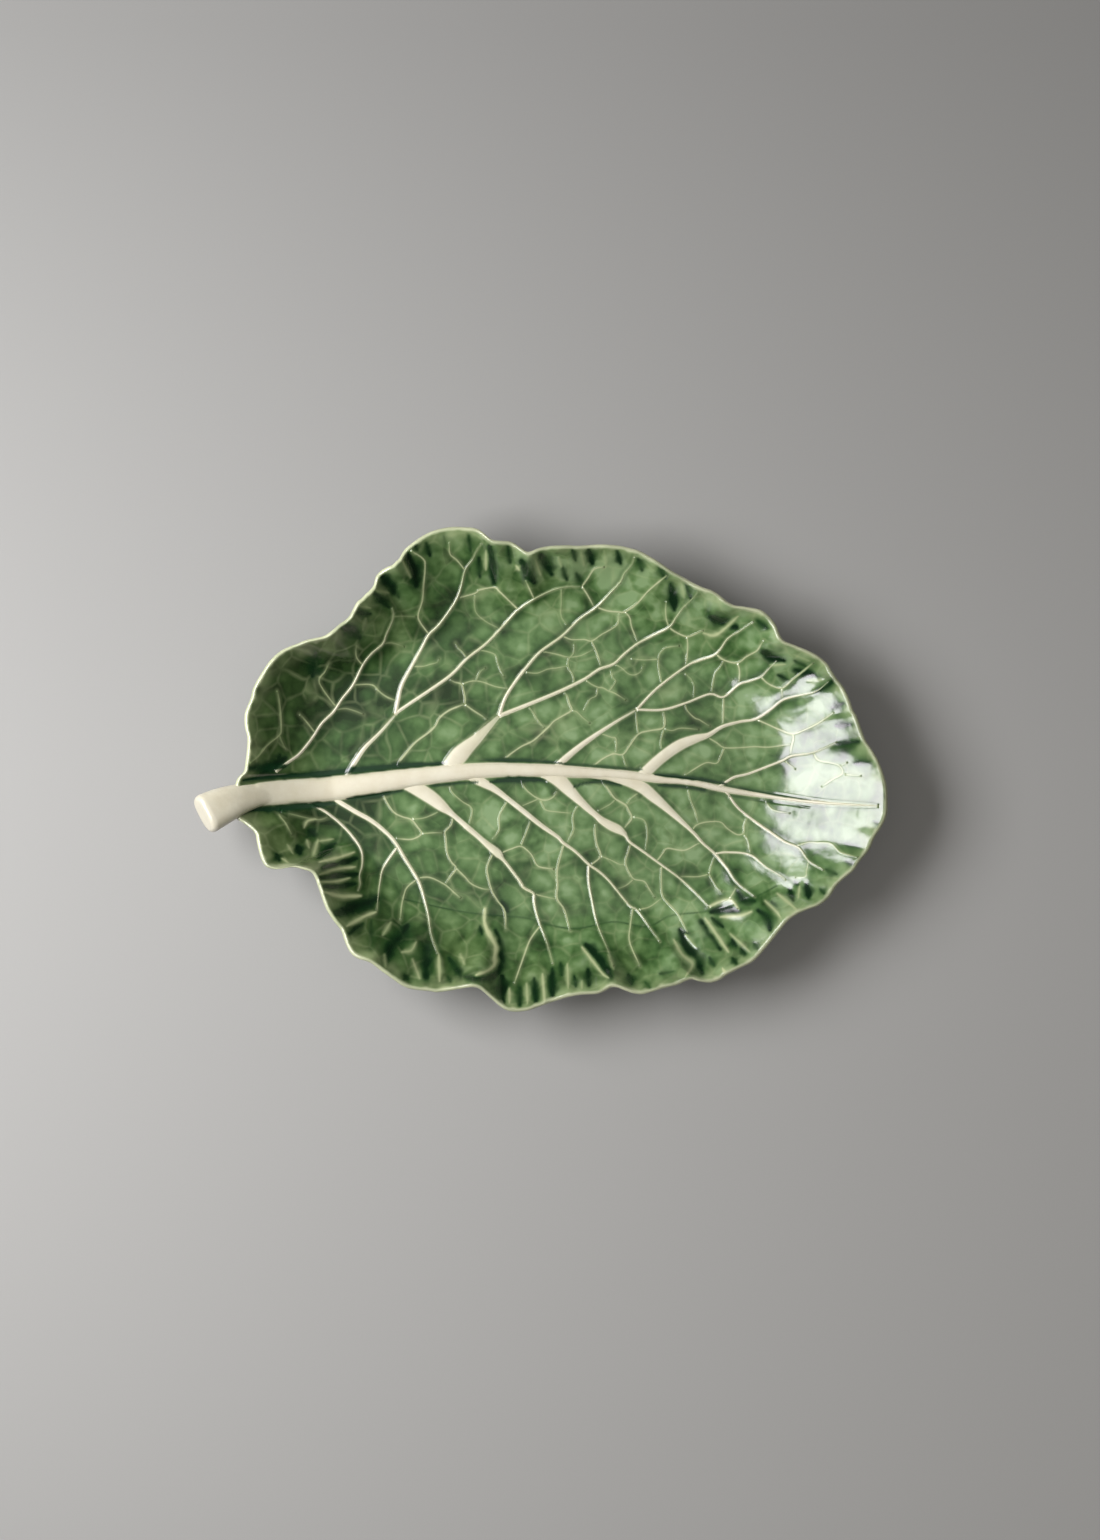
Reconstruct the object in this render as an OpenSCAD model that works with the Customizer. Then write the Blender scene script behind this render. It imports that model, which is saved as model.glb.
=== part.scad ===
// Leaf shaped plate of glazed earthenware. A ruffled leaf forms the dish, its cut stalk is the handle,
// its midrib and side veins stand proud of the glaze, and it rests on an oval foot ring.
// The leaf lies along X with its stalk at -X, seen from above with +Y up the page.

/* [Plate] */
// Length over all, from the cut end of the stalk to the tip of the leaf
plate_length = 330; // [300:1:370]
// Width over the widest lobes
plate_width = 231; // [215:1:260]
// Height that the rim's rise is measured against
rim_height = 40; // [34:1:50]

/* [Leaf] */
// Thickness of the leaf at its floor
wall = 5; // [4:0.25:7]
// Thickness of the leaf at its rim
rim_wall = 3.4; // [2.6:0.2:5]
// Depth of the ruffle's folds
fold_depth = 2.4; // [0:0.2:3.5]
// Length of a fold, out from the floor to the rim
fold_length = 26; // [16:1:34]
// Width of a fold, along the rim
fold_width = 11; // [8:0.5:16]

/* [Foot] */
// Length of the foot ring
foot_length = 168; // [150:1:176]
// Width of the foot ring
foot_width = 108; // [96:1:114]
// Height of the foot ring
foot_height = 6; // [4.5:0.5:9]
// Thickness of the foot ring where it leaves the leaf
foot_wall = 7; // [5:0.5:10]
// Thickness of the foot ring at the table
foot_edge = 3.6; // [2.4:0.2:4.8]
// Flat of the floor that runs on past the foot ring
floor_run = 16; // [12:1:20]

/* [Veins] */
// Width of the midrib at the stalk
midrib_width = 11.6; // [9:0.2:14]
// Width of the broadest side vein at its root
vein_width = 8; // [6:0.5:10]
// Least height of a rib above the surface of the leaf
rib_least = 1; // [0.8:0.1:1.6]
// Depth of every rib's bed below the surface of the leaf
bed = 2; // [1.5:0.1:2.5]

/* [Stalk] */
// Width of the stalk at its cut end
stalk_width = 19.3; // [16:0.1:23]
// Depth of the stalk at its cut end
stalk_depth = 13.4; // [11:0.2:16]

/* [Hidden] */

leaf_green = "#4e7b44";
vein_cream = "#e8dfc8";
foot_clay = "#d9c9a8";

// Shares are hundredths. The places of the leaf span a few more of its length than a hundred.
percent = 100;
length_span_share = 100.6;
width_span_share = 100;

// The edge of the leaf as seen from above, starting below the stalk and going round by the tip.
// Each row is a share of the length, a share of the width and the rim's rise as a share of its height.
edge_shares = [
    [-44.2, -10.0, 79], [-42.3, -12.0, 82], [-41.4, -14.2, 85], [-40.9, -17.4, 87],
    [-39.9, -20.2, 88], [-38.1, -20.7, 89], [-35.8, -20.3, 91], [-33.6, -21.2, 93],
    [-32.2, -24.8, 91], [-30.3, -30.9, 88], [-28.4, -35.8, 88], [-27.0, -38.5, 90],
    [-24.6, -40.1, 93], [-22.0, -42.7, 91], [-19.6, -44.9, 88], [-15.2, -46.0, 87],
    [-12.0, -45.3, 91], [-9.9, -44.9, 95], [-8.3, -45.9, 93], [-6.3, -48.5, 88],
    [-4.0, -50.1, 86], [-1.2, -49.3, 87], [3.6, -47.2, 90], [8.0, -46.2, 92],
    [10.8, -44.9, 94], [14.6, -46.4, 88], [18.0, -45.0, 90], [21.9, -43.3, 94],
    [24.4, -43.9, 90], [27.0, -42.4, 88], [31.1, -38.8, 89], [33.9, -34.2, 91],
    [36.3, -30.4, 95], [40.6, -27.7, 93], [43.2, -23.1, 90], [46.7, -18.4, 89],
    [49.3, -12.8, 88], [50.4, -6.5, 88], [49.7, -0.3, 90], [47.2, 6.2, 92],
    [45.4, 12.6, 91], [43.2, 18.7, 89], [41.1, 22.6, 90], [38.0, 25.1, 92],
    [35.4, 26.7, 95], [34.0, 30.4, 90], [31.6, 33.1, 89], [28.2, 33.9, 93],
    [25.5, 36.5, 91], [20.4, 40.0, 91], [16.4, 43.6, 89], [12.0, 46.1, 88],
    [6.0, 46.3, 90], [1.2, 46.1, 92], [-1.5, 45.0, 95], [-4.4, 47.1, 91],
    [-7.0, 47.5, 94], [-9.4, 49.7, 89], [-12.4, 50.0, 87], [-16.0, 49.0, 88],
    [-19.2, 46.2, 91], [-21.0, 42.9, 94], [-23.4, 40.8, 92], [-24.4, 37.7, 91],
    [-27.1, 32.8, 92], [-29.9, 29.3, 95], [-32.0, 27.4, 92], [-36.0, 25.6, 88],
    [-39.4, 22.3, 87], [-41.8, 16.6, 87], [-43.0, 10.2, 86], [-42.7, 3.7, 84],
    [-43.2, -0.6, 81], [-44.3, -2.4, 78], [-44.8, -6.2, 77]
];
edge_steps = 3;

// Rings of the leaf between its floor's edge and its rim's crest, out along the top, back underneath
top_ring_shares = [0, 22, 40, 55, 68, 79, 90, 100];
under_ring_shares = [100, 72, 44, 20, 0];
// Turns about the round of the rim between the two
rim_turns = [30, -30];
// How sharply the dish climbs towards the rim
climb_power = 1.5;

// Middles of the ruffle's folds, each of which runs straight out to the rim
fold_shares = [
    [-33.0, -13.5], [-30.0, -21.5], [-26.5, -30.0], [-20.9, -36.5], [-16.5, -40.0], [-6.0, -41.5],
    [1.7, -43.5], [8.8, -40.0], [22.0, -38.0], [26.5, -30.5], [36.4, -26.0], [38.3, 20.0],
    [33.8, 23.8], [26.4, 30.4], [19.2, 36.0], [7.3, 43.2], [0.6, 42.0], [-7.0, 42.5],
    [-18.3, 41.5], [-22.1, 37.8], [-27.4, 28.0], [-33.0, 21.4]
];

// Height of a rib above the leaf as a share of its width
arch_share = 37;
// Half section of a rib and its mirror image. Each row is a share of half the width and a share of the
// way from the bed up to the crown.
section_shares = [[122, 0], [60, 84], [0, 100], [-60, 84], [-122, 0]];
rib_steps = 3;

// Route of the midrib, with its width as a share of the width at the stalk
midrib_shares = [
    [-42.5, -5.5, 78], [-40.4, -5.1, 98], [-35.0, -4.4, 100], [-28.8, -3.6, 99], [-22.0, -2.3, 90],
    [-13.9, -0.9, 72], [-5.0, -0.1, 58], [4.0, -0.4, 50], [13.0, -1.3, 37], [20.4, -2.4, 27],
    [27.0, -4.2, 22], [33.0, -5.5, 19], [40.0, -6.9, 13], [48.2, -7.5, 9]
];

// Routes of the side veins, each a list of branches. The last figure is the width as a share of the
// broadest root.
upper_vein_shares = [
    [
        [[-38.9, -4.3, 22], [-37.6, -1.4, 24], [-35.2, 2.9, 22], [-31.4, 9.8, 21], [-28.0, 15.6, 20],
            [-25.2, 22.6, 19], [-22.5, 27.2, 18], [-21.5, 32.6, 15]]
    ],
    [
        [[-28.9, -3.4, 30], [-27.4, 0.0, 38], [-25.4, 4.5, 34], [-20.9, 11.6, 28]],
        [[-20.9, 11.4, 26], [-19.6, 18.6, 25], [-17.1, 25.1, 22], [-13.4, 32.1, 19], [-10.9, 40.9, 16],
            [-9.4, 44.4, 13]],
        [[-20.9, 11.4, 24], [-13.4, 18.9, 25], [-7.6, 26.2, 21], [-2.6, 33.4, 18], [0.2, 36.0, 17],
            [3.0, 37.3, 16], [6.0, 37.6, 14]]
    ],
    [
        [[-13.4, -0.8, 40], [-12.2, 1.4, 100], [-10.4, 4.8, 92], [-8.2, 8.0, 62], [-6.0, 11.1, 32]],
        [[-6.1, 10.9, 27], [-3.7, 17.9, 25], [0.6, 25.0, 21], [5.6, 30.8, 18], [9.9, 35.9, 16],
            [13.1, 41.9, 13]],
        [[-6.1, 10.9, 32], [0.4, 14.8, 28], [8.3, 20.6, 24], [13.6, 25.4, 21], [18.6, 29.2, 18],
            [22.3, 35.9, 14]]
    ],
    [
        [[1.8, -0.3, 35], [3.0, 1.5, 50], [6.4, 5.4, 40], [13.9, 12.3, 26]],
        [[13.8, 12.2, 22], [21.1, 21.2, 20], [25.4, 23.7, 18], [30.3, 29.9, 14]],
        [[13.8, 12.2, 20], [17.7, 12.3, 20], [24.6, 15.4, 19], [26.5, 15.0, 19], [31.8, 19.0, 17],
            [34.1, 22.4, 13]]
    ],
    [
        [[15.2, -1.6, 24], [16.4, 0.6, 60], [19.0, 3.4, 64], [23.4, 6.6, 46], [26.6, 8.8, 25],
            [31.1, 10.3, 21], [35.0, 14.2, 18], [39.6, 15.9, 15], [41.6, 18.0, 13]]
    ],
    [
        [[26.0, -3.5, 20], [27.4, -2.3, 23], [29.9, -0.9, 22], [36.3, 2.8, 19], [39.5, 3.5, 15],
            [42.9, 5.6, 12]]
    ]
];
lower_vein_shares = [
    [
        [[-35.8, -4.5, 22], [-34.0, -6.8, 24], [-31.0, -9.1, 21], [-27.0, -14.3, 20],
            [-25.8, -18.6, 20], [-26.3, -24.6, 16]]
    ],
    [
        [[-31.4, -4.0, 28], [-29.6, -6.4, 36], [-25.0, -10.3, 33], [-20.8, -15.5, 26],
            [-17.8, -22.3, 22], [-16.4, -29.0, 18], [-15.6, -35.4, 14]],
        [[-20.6, -16.2, 18], [-22.3, -19.4, 17], [-23.3, -24.6, 15], [-23.7, -29.2, 12]]
    ],
    [
        [[-20.4, -2.0, 40], [-18.2, -4.2, 80], [-16.2, -5.9, 72], [-12.8, -9.4, 42], [-7.9, -15.4, 38],
            [-6.0, -17.3, 50], [-4.8, -19.3, 26], [-1.2, -25.4, 21], [-0.2, -31.8, 17], [1.7, -39.6, 13]]
    ],
    [
        [[-10.2, -0.6, 34], [-8.6, -2.6, 48], [-5.0, -5.9, 38], [0.2, -11.4, 38], [3.3, -15.0, 26],
            [7.3, -19.8, 22], [13.4, -28.4, 18], [17.3, -35.4, 13]],
        [[7.2, -19.8, 19], [7.3, -25.8, 17], [9.0, -34.4, 15], [10.3, -39.7, 12]]
    ],
    [
        [[2.2, -0.4, 34], [3.6, -3.0, 78], [5.0, -5.7, 48], [8.2, -9.6, 38], [11.2, -12.1, 60],
            [12.7, -14.2, 28], [17.6, -19.8, 21], [22.2, -25.2, 19], [24.5, -28.6, 14]]
    ],
    [
        [[13.8, -1.4, 24], [15.4, -3.6, 76], [17.0, -5.8, 66], [19.9, -9.8, 40], [23.0, -14.2, 28],
            [25.3, -17.4, 22], [28.4, -23.2, 19], [31.2, -26.4, 14]],
        [[25.2, -17.4, 19], [30.3, -17.5, 17], [35.3, -22.5, 13]]
    ],
    [
        [[26.7, -4.6, 18], [27.7, -6.2, 22], [30.1, -9.7, 20], [37.4, -16.1, 18], [38.8, -18.8, 16],
            [41.2, -20.9, 12]]
    ]
];

// Stations of the stalk. Each row is a place, a height as a share of the rim's, and a width and a
// depth as shares of those of the cut end.
stalk_shares = [
    [-42.0, -5.3, 71, 63, 70], [-43.4, -5.8, 75, 74, 80], [-44.9, -6.7, 80, 86, 90],
    [-46.6, -7.9, 84.5, 95, 96], [-48.0, -8.9, 88.5, 99, 99], [-49.0, -9.55, 91, 100, 100]
];
stalk_turn = 30;
stalk_steps = 2;

floor_top = foot_height + wall;
rim_round = rim_wall / 2;
floor_half_length = foot_length / 2 + floor_run;
floor_half_width = foot_width / 2 + floor_run;

function mix(from, to, part) = from + (to - from) * part;
function total(list) = list * [for (item = list) 1];
function in_plan(share) =
    [share[0] * plate_length / length_span_share, share[1] * plate_width / width_span_share];

// Smooth curve between the middle two of four neighbours
function curve_point(a, b, c, d, part) =
    (2 * b + (c - a) * part + (2 * a - 5 * b + 4 * c - d) * part ^ 2
        + (3 * b - a - 3 * c + d) * part ^ 3) / 2;

function closed_curve(rows, steps) =
    let (count = len(rows))
    [
        for (i = [0 : count - 1], k = [0 : steps - 1])
            curve_point(rows[(i + count - 1) % count], rows[i], rows[(i + 1) % count],
                rows[(i + 2) % count], k / steps)
    ];

function open_curve(rows, steps) =
    let (last = len(rows) - 1)
    [
        for (i = [0 : last - 1], k = [0 : steps - 1])
            curve_point(rows[max(i - 1, 0)], rows[i], rows[i + 1], rows[min(i + 2, last)], k / steps),
        rows[last]
    ];

// The smooth edge, and how far it reaches and how high it stands on each heading from the middle
edge = closed_curve(
    [for (row = edge_shares) concat(in_plan(row), row[2] / percent)],
    edge_steps
);
first_heading = atan2(edge[0].y, edge[0].x);

function heading(place) =
    let (turn = atan2(place.y, place.x))
    turn < first_heading ? turn + 360 : turn;

reach_table = [
    for (row = edge) [heading(row), norm([row.x, row.y])],
    [first_heading + 360, norm([edge[0].x, edge[0].y])]
];
rise_table = [
    for (row = edge) [heading(row), row.z],
    [first_heading + 360, edge[0].z]
];

function crest_reach(turn) = lookup(turn, reach_table) - rim_round;
function floor_reach(turn) =
    floor_half_length * floor_half_width
        / norm([floor_half_width * cos(turn), floor_half_length * sin(turn)]);

// Part of the way from the edge of the floor out to the crest of the rim
function way_out(place) =
    let (turn = heading(place), from = floor_reach(turn))
    max(0, (norm(place) - from) / (crest_reach(turn) - from));

// Depth of all folds together at a place
function folding(place) =
    total([
        for (share = fold_shares)
            let (middle = in_plan(share), out = middle / norm(middle), off = place - middle)
            exp(-(off * out / fold_length * 2) ^ 2 - (cross(out, off) / fold_width * 2) ^ 2)
    ]);

function top_height(place) =
    let (out = way_out(place), crest = rim_height * lookup(heading(place), rise_table))
    mix(floor_top, crest, min(out, 1) ^ climb_power) - fold_depth * folding(place) * min(out, 1);

function along_heading(row, part) =
    let (turn = heading(row))
    mix(floor_reach(turn), crest_reach(turn), part) * [cos(turn), sin(turn)];

// The rings of the leaf from the edge of its floor, over the rim and back to the foot
function top_ring(part) = [
    for (row = edge)
        let (place = along_heading(row, part))
        concat(place, top_height(place))
];

function rim_ring(turn) = [
    for (row = edge)
        let (place = along_heading(row, 1), out = place / norm(place))
        concat(
            place + out * rim_round * cos(turn),
            top_height(place) - rim_round + rim_round * sin(turn)
        )
];

function under_ring(part) = [
    for (row = edge)
        let (place = along_heading(row, part))
        concat(place, top_height(place) - mix(wall, rim_wall, part))
];

leaf_rings = concat(
    [for (share = top_ring_shares) top_ring(share / percent)],
    [for (turn = rim_turns) rim_ring(turn)],
    [for (share = under_ring_shares) under_ring(share / percent)]
);

module leaf_form() {
    count = len(edge);
    rings = len(leaf_rings);
    middle_top = count * rings;
    middle_under = middle_top + 1;
    polyhedron(
        points = concat(
            [for (ring = leaf_rings) each ring],
            [[0, 0, floor_top], [0, 0, foot_height]]
        ),
        faces = concat(
            [for (i = [0 : count - 1]) [middle_top, (i + 1) % count, i]],
            [
                for (k = [0 : rings - 2], i = [0 : count - 1])
                    let (j = (i + 1) % count, a = k * count, b = a + count)
                    each [[a + i, a + j, b + j], [a + i, b + j, b + i]]
            ],
            [
                for (i = [0 : count - 1])
                    [middle_under, middle_top - count + i, middle_top - count + (i + 1) % count]
            ]
        )
    );
}

// Solid between two sections that have the same number of points
module between(near, far) {
    count = len(near);
    hull()
        polyhedron(
            points = concat(near, far),
            faces = concat(
                [[for (i = [0 : count - 1]) i]],
                [[for (i = [count - 1 : -1 : 0]) count + i]],
                [
                    for (i = [0 : count - 1])
                        let (j = (i + 1) % count)
                        each [[i, count + i, count + j], [i, count + j, j]]
                ]
            )
        );
}

module through(sections) {
    for (i = [0 : len(sections) - 2])
        between(sections[i], sections[i + 1]);
}

function flat(row) = [row.x, row.y];
function heading_along(rows, i) =
    let (step = flat(rows[min(i + 1, len(rows) - 1)]) - flat(rows[max(i - 1, 0)]))
    step / norm(step);

// Section across a route, from a foot in the leaf over the crown and down to the other foot
function arch_section(place, along, width) =
    let (
        side = [-along.y, along.x] * width / 2,
        left = top_height(place + side),
        right = top_height(place - side),
        height = max(width * arch_share / percent, rib_least)
    )
    [
        for (share = section_shares)
            let (over = share[0] / percent, up = share[1] / percent)
            concat(
                place + side * over,
                mix(right, left, (1 + over) / 2) + mix(-bed, height, up)
            )
    ];

function rib_sections(rows, width) =
    let (route = open_curve([for (row = rows) concat(in_plan(row), row[2] / percent * width)], rib_steps))
    [
        for (i = [0 : len(route) - 1])
            arch_section(flat(route[i]), heading_along(route, i), route[i].z)
    ];

// The whole midrib in one piece, because the side veins are trimmed to it
module midrib_form() {
    sections = rib_sections(midrib_shares, midrib_width);
    count = len(sections[0]);
    last = (len(sections) - 1) * count;
    polyhedron(
        points = [for (section = sections) each section],
        faces = concat(
            [for (i = [1 : count - 2]) [0, i, i + 1]],
            [for (i = [1 : count - 2]) [last, last + i + 1, last + i]],
            [
                for (k = [0 : len(sections) - 2], i = [0 : count - 1])
                    let (j = (i + 1) % count, a = k * count, b = a + count)
                    each [[a + i, b + i, b + j], [a + i, b + j, a + j]]
            ]
        )
    );
}

// Oval section across the stalk, square to its run
function oval_section(rows, i) =
    let (
        row = rows[i],
        step = rows[min(i + 1, len(rows) - 1)] - rows[max(i - 1, 0)],
        run = [step.x, step.y, step.z],
        along = run / norm(run),
        side = [-along.y, along.x, 0] / norm([along.x, along.y]),
        up = cross(along, side)
    )
    [
        for (turn = [0 : stalk_turn : 360 - stalk_turn])
            [row.x, row.y, row.z] + side * row[3] / 2 * cos(turn) + up * row[4] / 2 * sin(turn)
    ];

module stalk_form() {
    stations = open_curve(
        [
            for (row = stalk_shares)
                concat(
                    in_plan(row),
                    [rim_height * row[2], stalk_width * row[3], stalk_depth * row[4]] / percent
                )
        ],
        stalk_steps
    );
    through([for (i = [0 : len(stations) - 1]) oval_section(stations, i)]);
}

// Half section of the foot, standing at its own middle line
module foot_section() {
    polygon([
        [-foot_wall / 2, foot_height],
        [-foot_edge / 2, 0],
        [foot_edge / 2, 0],
        [foot_wall / 2, foot_height]
    ]);
}

module leaf_blade() {
    color(leaf_green)
        leaf_form();
}

module midrib() {
    color(vein_cream)
        difference() {
            midrib_form();
            leaf_form();
            stalk_form();
        }
}

module stalk() {
    color(vein_cream)
        difference() {
            stalk_form();
            leaf_form();
        }
}

module side_vein(branches) {
    color(vein_cream)
        difference() {
            for (rows = branches)
                through(rib_sections(rows, vein_width));
            leaf_form();
            midrib_form();
        }
}

// Straight sides between two half rounds
module foot_ring() {
    bend = (foot_width - foot_wall) / 2;
    straight = foot_length - foot_width;
    color(foot_clay)
        for (turn = [0, 180])
            rotate(turn) {
                translate([straight / 2, 0, 0])
                    rotate(-90)
                        rotate_extrude(angle = 180, $fn = 72)
                            translate([bend, 0])
                                foot_section();
                rotate([90, 0, 90])
                    linear_extrude(straight, center = true)
                        translate([bend, 0])
                            foot_section();
            }
}

leaf_blade();
midrib();
stalk();
foot_ring();
side_vein(upper_vein_shares[0]);  // side_vein_upper_1
side_vein(upper_vein_shares[1]);  // side_vein_upper_2
side_vein(upper_vein_shares[2]);  // side_vein_upper_3
side_vein(upper_vein_shares[3]);  // side_vein_upper_4
side_vein(upper_vein_shares[4]);  // side_vein_upper_5
side_vein(upper_vein_shares[5]);  // side_vein_upper_6
side_vein(lower_vein_shares[0]);  // side_vein_lower_1
side_vein(lower_vein_shares[1]);  // side_vein_lower_2
side_vein(lower_vein_shares[2]);  // side_vein_lower_3
side_vein(lower_vein_shares[3]);  // side_vein_lower_4
side_vein(lower_vein_shares[4]);  // side_vein_lower_5
side_vein(lower_vein_shares[5]);  // side_vein_lower_6
side_vein(lower_vein_shares[6]);  // side_vein_lower_7
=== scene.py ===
"""Looks of the leaf shaped plate: glazed leaf, veins, stalk and foot, with floor, light and camera."""
import math
import bpy
import numpy as np
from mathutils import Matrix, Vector


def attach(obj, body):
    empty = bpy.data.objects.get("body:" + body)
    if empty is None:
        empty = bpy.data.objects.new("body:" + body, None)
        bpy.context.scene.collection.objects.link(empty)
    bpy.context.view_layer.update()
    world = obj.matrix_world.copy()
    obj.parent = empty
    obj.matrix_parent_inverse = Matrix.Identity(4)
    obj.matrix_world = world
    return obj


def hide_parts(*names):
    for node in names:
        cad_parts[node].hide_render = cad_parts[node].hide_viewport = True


# Sizes, in millimetres as in part.scad
MM = 0.001
PLATE_LENGTH, PLATE_WIDTH, RIM_HEIGHT = 330.0, 231.0, 40.0
# The tables below give places in shares: this many of them make up the length and the width
LENGTH_SHARES, WIDTH_SHARES = 100.6, 100.0
WALL, RIM_WALL = 5.0, 3.4
FOOT_HEIGHT = 6.0
FLOOR_TOP = FOOT_HEIGHT + WALL
RIM_ROUND = RIM_WALL / 2
EDGE_INSET = 0.33
# The dish's level floor is an oval, and the wall climbs from it ever more steeply
FLOOR_HALF_LENGTH, FLOOR_HALF_WIDTH = 100.0, 70.0
CLIMB_POWER = 1.5
# Degrees over which the calm wall on the right evens out its ruffles, and where up the wall they start again
CALM_TURN, CALM_STEP = 14.0, 2.0
RUFFLE_START, RUFFLE_RANGE = 0.55, 0.45
STALK_WIDTH, STALK_DEPTH = 19.3, 13.4

# The camera looks straight down. The photograph's scale holds at SCALE_HEIGHT, near the rim, where the
# frame's long side is FRAME_LONG_SIDE
CAMERA_HEIGHT, SCALE_HEIGHT = 2400.0, 36.0
CAMERA_X, CAMERA_Y = 4.5, -0.24
FRAME_LONG_SIDE = 731.0

# Meshing: points round the leaf, rings of the wall and of the underside, steps of the rolled rim, mm between
# the floor's rings, and mm between the points of routes, ribs and marks
AROUND = 1440
WALL_RINGS, UNDER_RINGS, RIM_STEPS = 84, 12, 7
FLOOR_STEP = 1.25
ROUTE_STEP, RIB_STEP, MARK_STEP, EDGE_STEP = 2.2, 1.1, 1.5, 0.5

# Widths of veins: up to VEIN_THIN mm they keep only VEIN_SLIM of it, over the next VEIN_RANGE mm ever
# more, and VEIN_FLANK mm go to their flanks. The net's veins keep NET_SLIM
VEIN_THIN, VEIN_RANGE = 2.4, 3.0
VEIN_SLIM, VEIN_FLANK, NET_SLIM = 0.82, 0.30, 0.72
# The leaf sinks between veins and between the net's veins: depth and spread in mm
CELL_DEPTH, CELL_SPREAD = 0.20, 3.0
NET_DEPTH, NET_SPREAD = 0.12, 1.8
# Low bumps: height in mm, size in mm, seed. BUMPS_INSIDE is their share on the floor, and the rim adds 1
BUMPS = [(0.07, 19.0, 3), (0.035, 8.5, 4)]
BUMPS_INSIDE = 0.35
# How much broader pits and ridges are than their tables say, what share of the tables' heights they have, and
# how flat their middles are
PIT_SPREAD, RIDGE_SPREAD = 2.15, 1.5
PIT_SHARE, RIDGE_SHARE = 0.17, 0.30
PIT_POWER, STROKE_POWER = 1.45, 2.6
STROKE_DEPTH = 0.4
GROOVE_DEPTH, GROOVE_WIDE = 0.12, 0.8

# How far from a route its marks reach, in mm, or in half widths of the mark
FAR, NEAR, CLOSE = 12.0, 6.0, 3.0
MARK_REACH = 3

# How the glaze gathers and thins, as shares, with breadths in mm. Where it gathers it also carries painted
# shade, and on ridges and the rim painted highlight
VEIN_POOL_AND_SHADE, VEIN_POOL_AND_SHADE_OFF, VEIN_POOL_AND_SHADE_WIDE = 0.28, 1.0, 1.1
VEIN_PALE, VEIN_PALE_WIDE = 0.42, 0.55
NET_PALE, NET_PALE_MORE, NET_PALE_WIDE = 0.10, 0.30, 1.1
GROOVE_POOL, GROOVE_POOL_WIDE = 0.50, 0.5
PIT_HIDES_PALE, RIDGE_HIDES_POOL_AND_SHADE, RIM_HIDES_POOL_AND_SHADE = 0.85, 0.95, 0.9
RIDGE_PALE_AND_HIGHLIGHT, RIDGE_PALE_AND_HIGHLIGHT_POWER = 0.84, 0.8
RIM_FLAT, RIM_FULL, RIM_FADE = 0.4, 1.45, 1.5
NEAR_RIM, NEAR_RIM_PALE_AND_HIGHLIGHT, NEAR_RIM_VARIES = 5.5, 0.40, 0.25
# The tone, from 0 dark to 1 light: its middle, its rise along TONE_LENGTH towards the right, partly a painted
# sheen of the window's reflection, its clouds, its rise away from veins, and its dip beside the net's veins
TONE, TONE_ALONG_AND_SHEEN, TONE_LENGTH, TONE_CLOUDS = 0.485, 0.08, 150, 0.08
TONE_AWAY, TONE_AWAY_WIDE = 0.17, 4.5
TONE_NET, TONE_NET_OFF, TONE_NET_WIDE = 0.13, 1.3, 1.6
# The browner green: its middle, how it fades along the leaf, its clouds, and how fast it starts up the wall
OLIVE, OLIVE_LENGTH, OLIVE_CLOUDS, OLIVE_OUT = 0.35, 230, 0.4, 1.6

# Colours, linear: the leaf's greens and its browner greens from dark to light, then its pale and dark glazes,
# which also carry painted highlight and painted shade
GREENS = [
    (0.0, (0.013, 0.038, 0.009)), (0.25, (0.040, 0.097, 0.027)), (0.50, (0.090, 0.182, 0.058)),
    (0.75, (0.158, 0.275, 0.106)), (1.0, (0.255, 0.385, 0.185)),
]
OLIVES = [
    (0.0, (0.014, 0.026, 0.006)), (0.35, (0.052, 0.082, 0.022)), (0.7, (0.130, 0.170, 0.062)),
    (1.0, (0.240, 0.290, 0.130)),
]
PALE = (0.44, 0.52, 0.27)
# The rim's pale: thin glaze with a painted highlight
RIM_PALE_AND_HIGHLIGHT = (0.66, 0.70, 0.46)
# Pale crest colour: thin glaze, and painted highlight on ridge crests
CREST_PALE_AND_HIGHLIGHT = (0.71, 0.745, 0.43)
# The dark glazes: pooled glaze with painted shade in pits, beside the veins and beside the midrib
DEEP_POOL_AND_SHADE = (0.010, 0.056, 0.013)
STROKE_POOL_AND_SHADE = (0.0045, 0.036, 0.011)
PIT_POOL_AND_SHADE = (0.005, 0.022, 0.007)
CREAM_LOW = (0.755, 0.695, 0.535)
CREAM = (0.845, 0.80, 0.65)
# Painted shade: a darker cream for the stalk's cut end, which faces the window
CUT_END_PAINTED_SHADE = (0.76, 0.715, 0.58)
CLAY_LOW, CLAY = (0.47, 0.38, 0.27), (0.56, 0.47, 0.35)
CLAY_SPECK, CLAY_BOTTOM = (0.45, 0.36, 0.26), (0.36, 0.29, 0.21)
WHITE, BLACK = (1.0, 1.0, 1.0), (0.0, 0.0, 0.0)
FLOOR_LOW, FLOOR_HIGH = (0.412, 0.410, 0.404), (0.440, 0.438, 0.432)
# Painted shade of the floor: the share of its colour kept in the middle and at the back, for the window's
# light falling off
FLOOR_MIDDLE_SHADE, FLOOR_BACK_SHADE = (0.86, 0.86, 0.86), (0.62, 0.62, 0.62)
GLAZE_IOR = 1.76
SHINE_TINT = (0.97, 0.92, 1.0)

# Noise in the glaze: scale per metre, detail, roughness, warp
CLOUD, MOTTLE = (66.0, 2.0, 0.50, 0.4), (150.0, 1.6, 0.45, 0.3)
FINE, GRAIN = (420.0, 3.0, 0.6), (1300.0, 2.0)
WAVES, CREAM_CLOUD = (95.0, 2.0), (120.0, 4.0, 0.65)
FINE_WEB = 84.0

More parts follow.
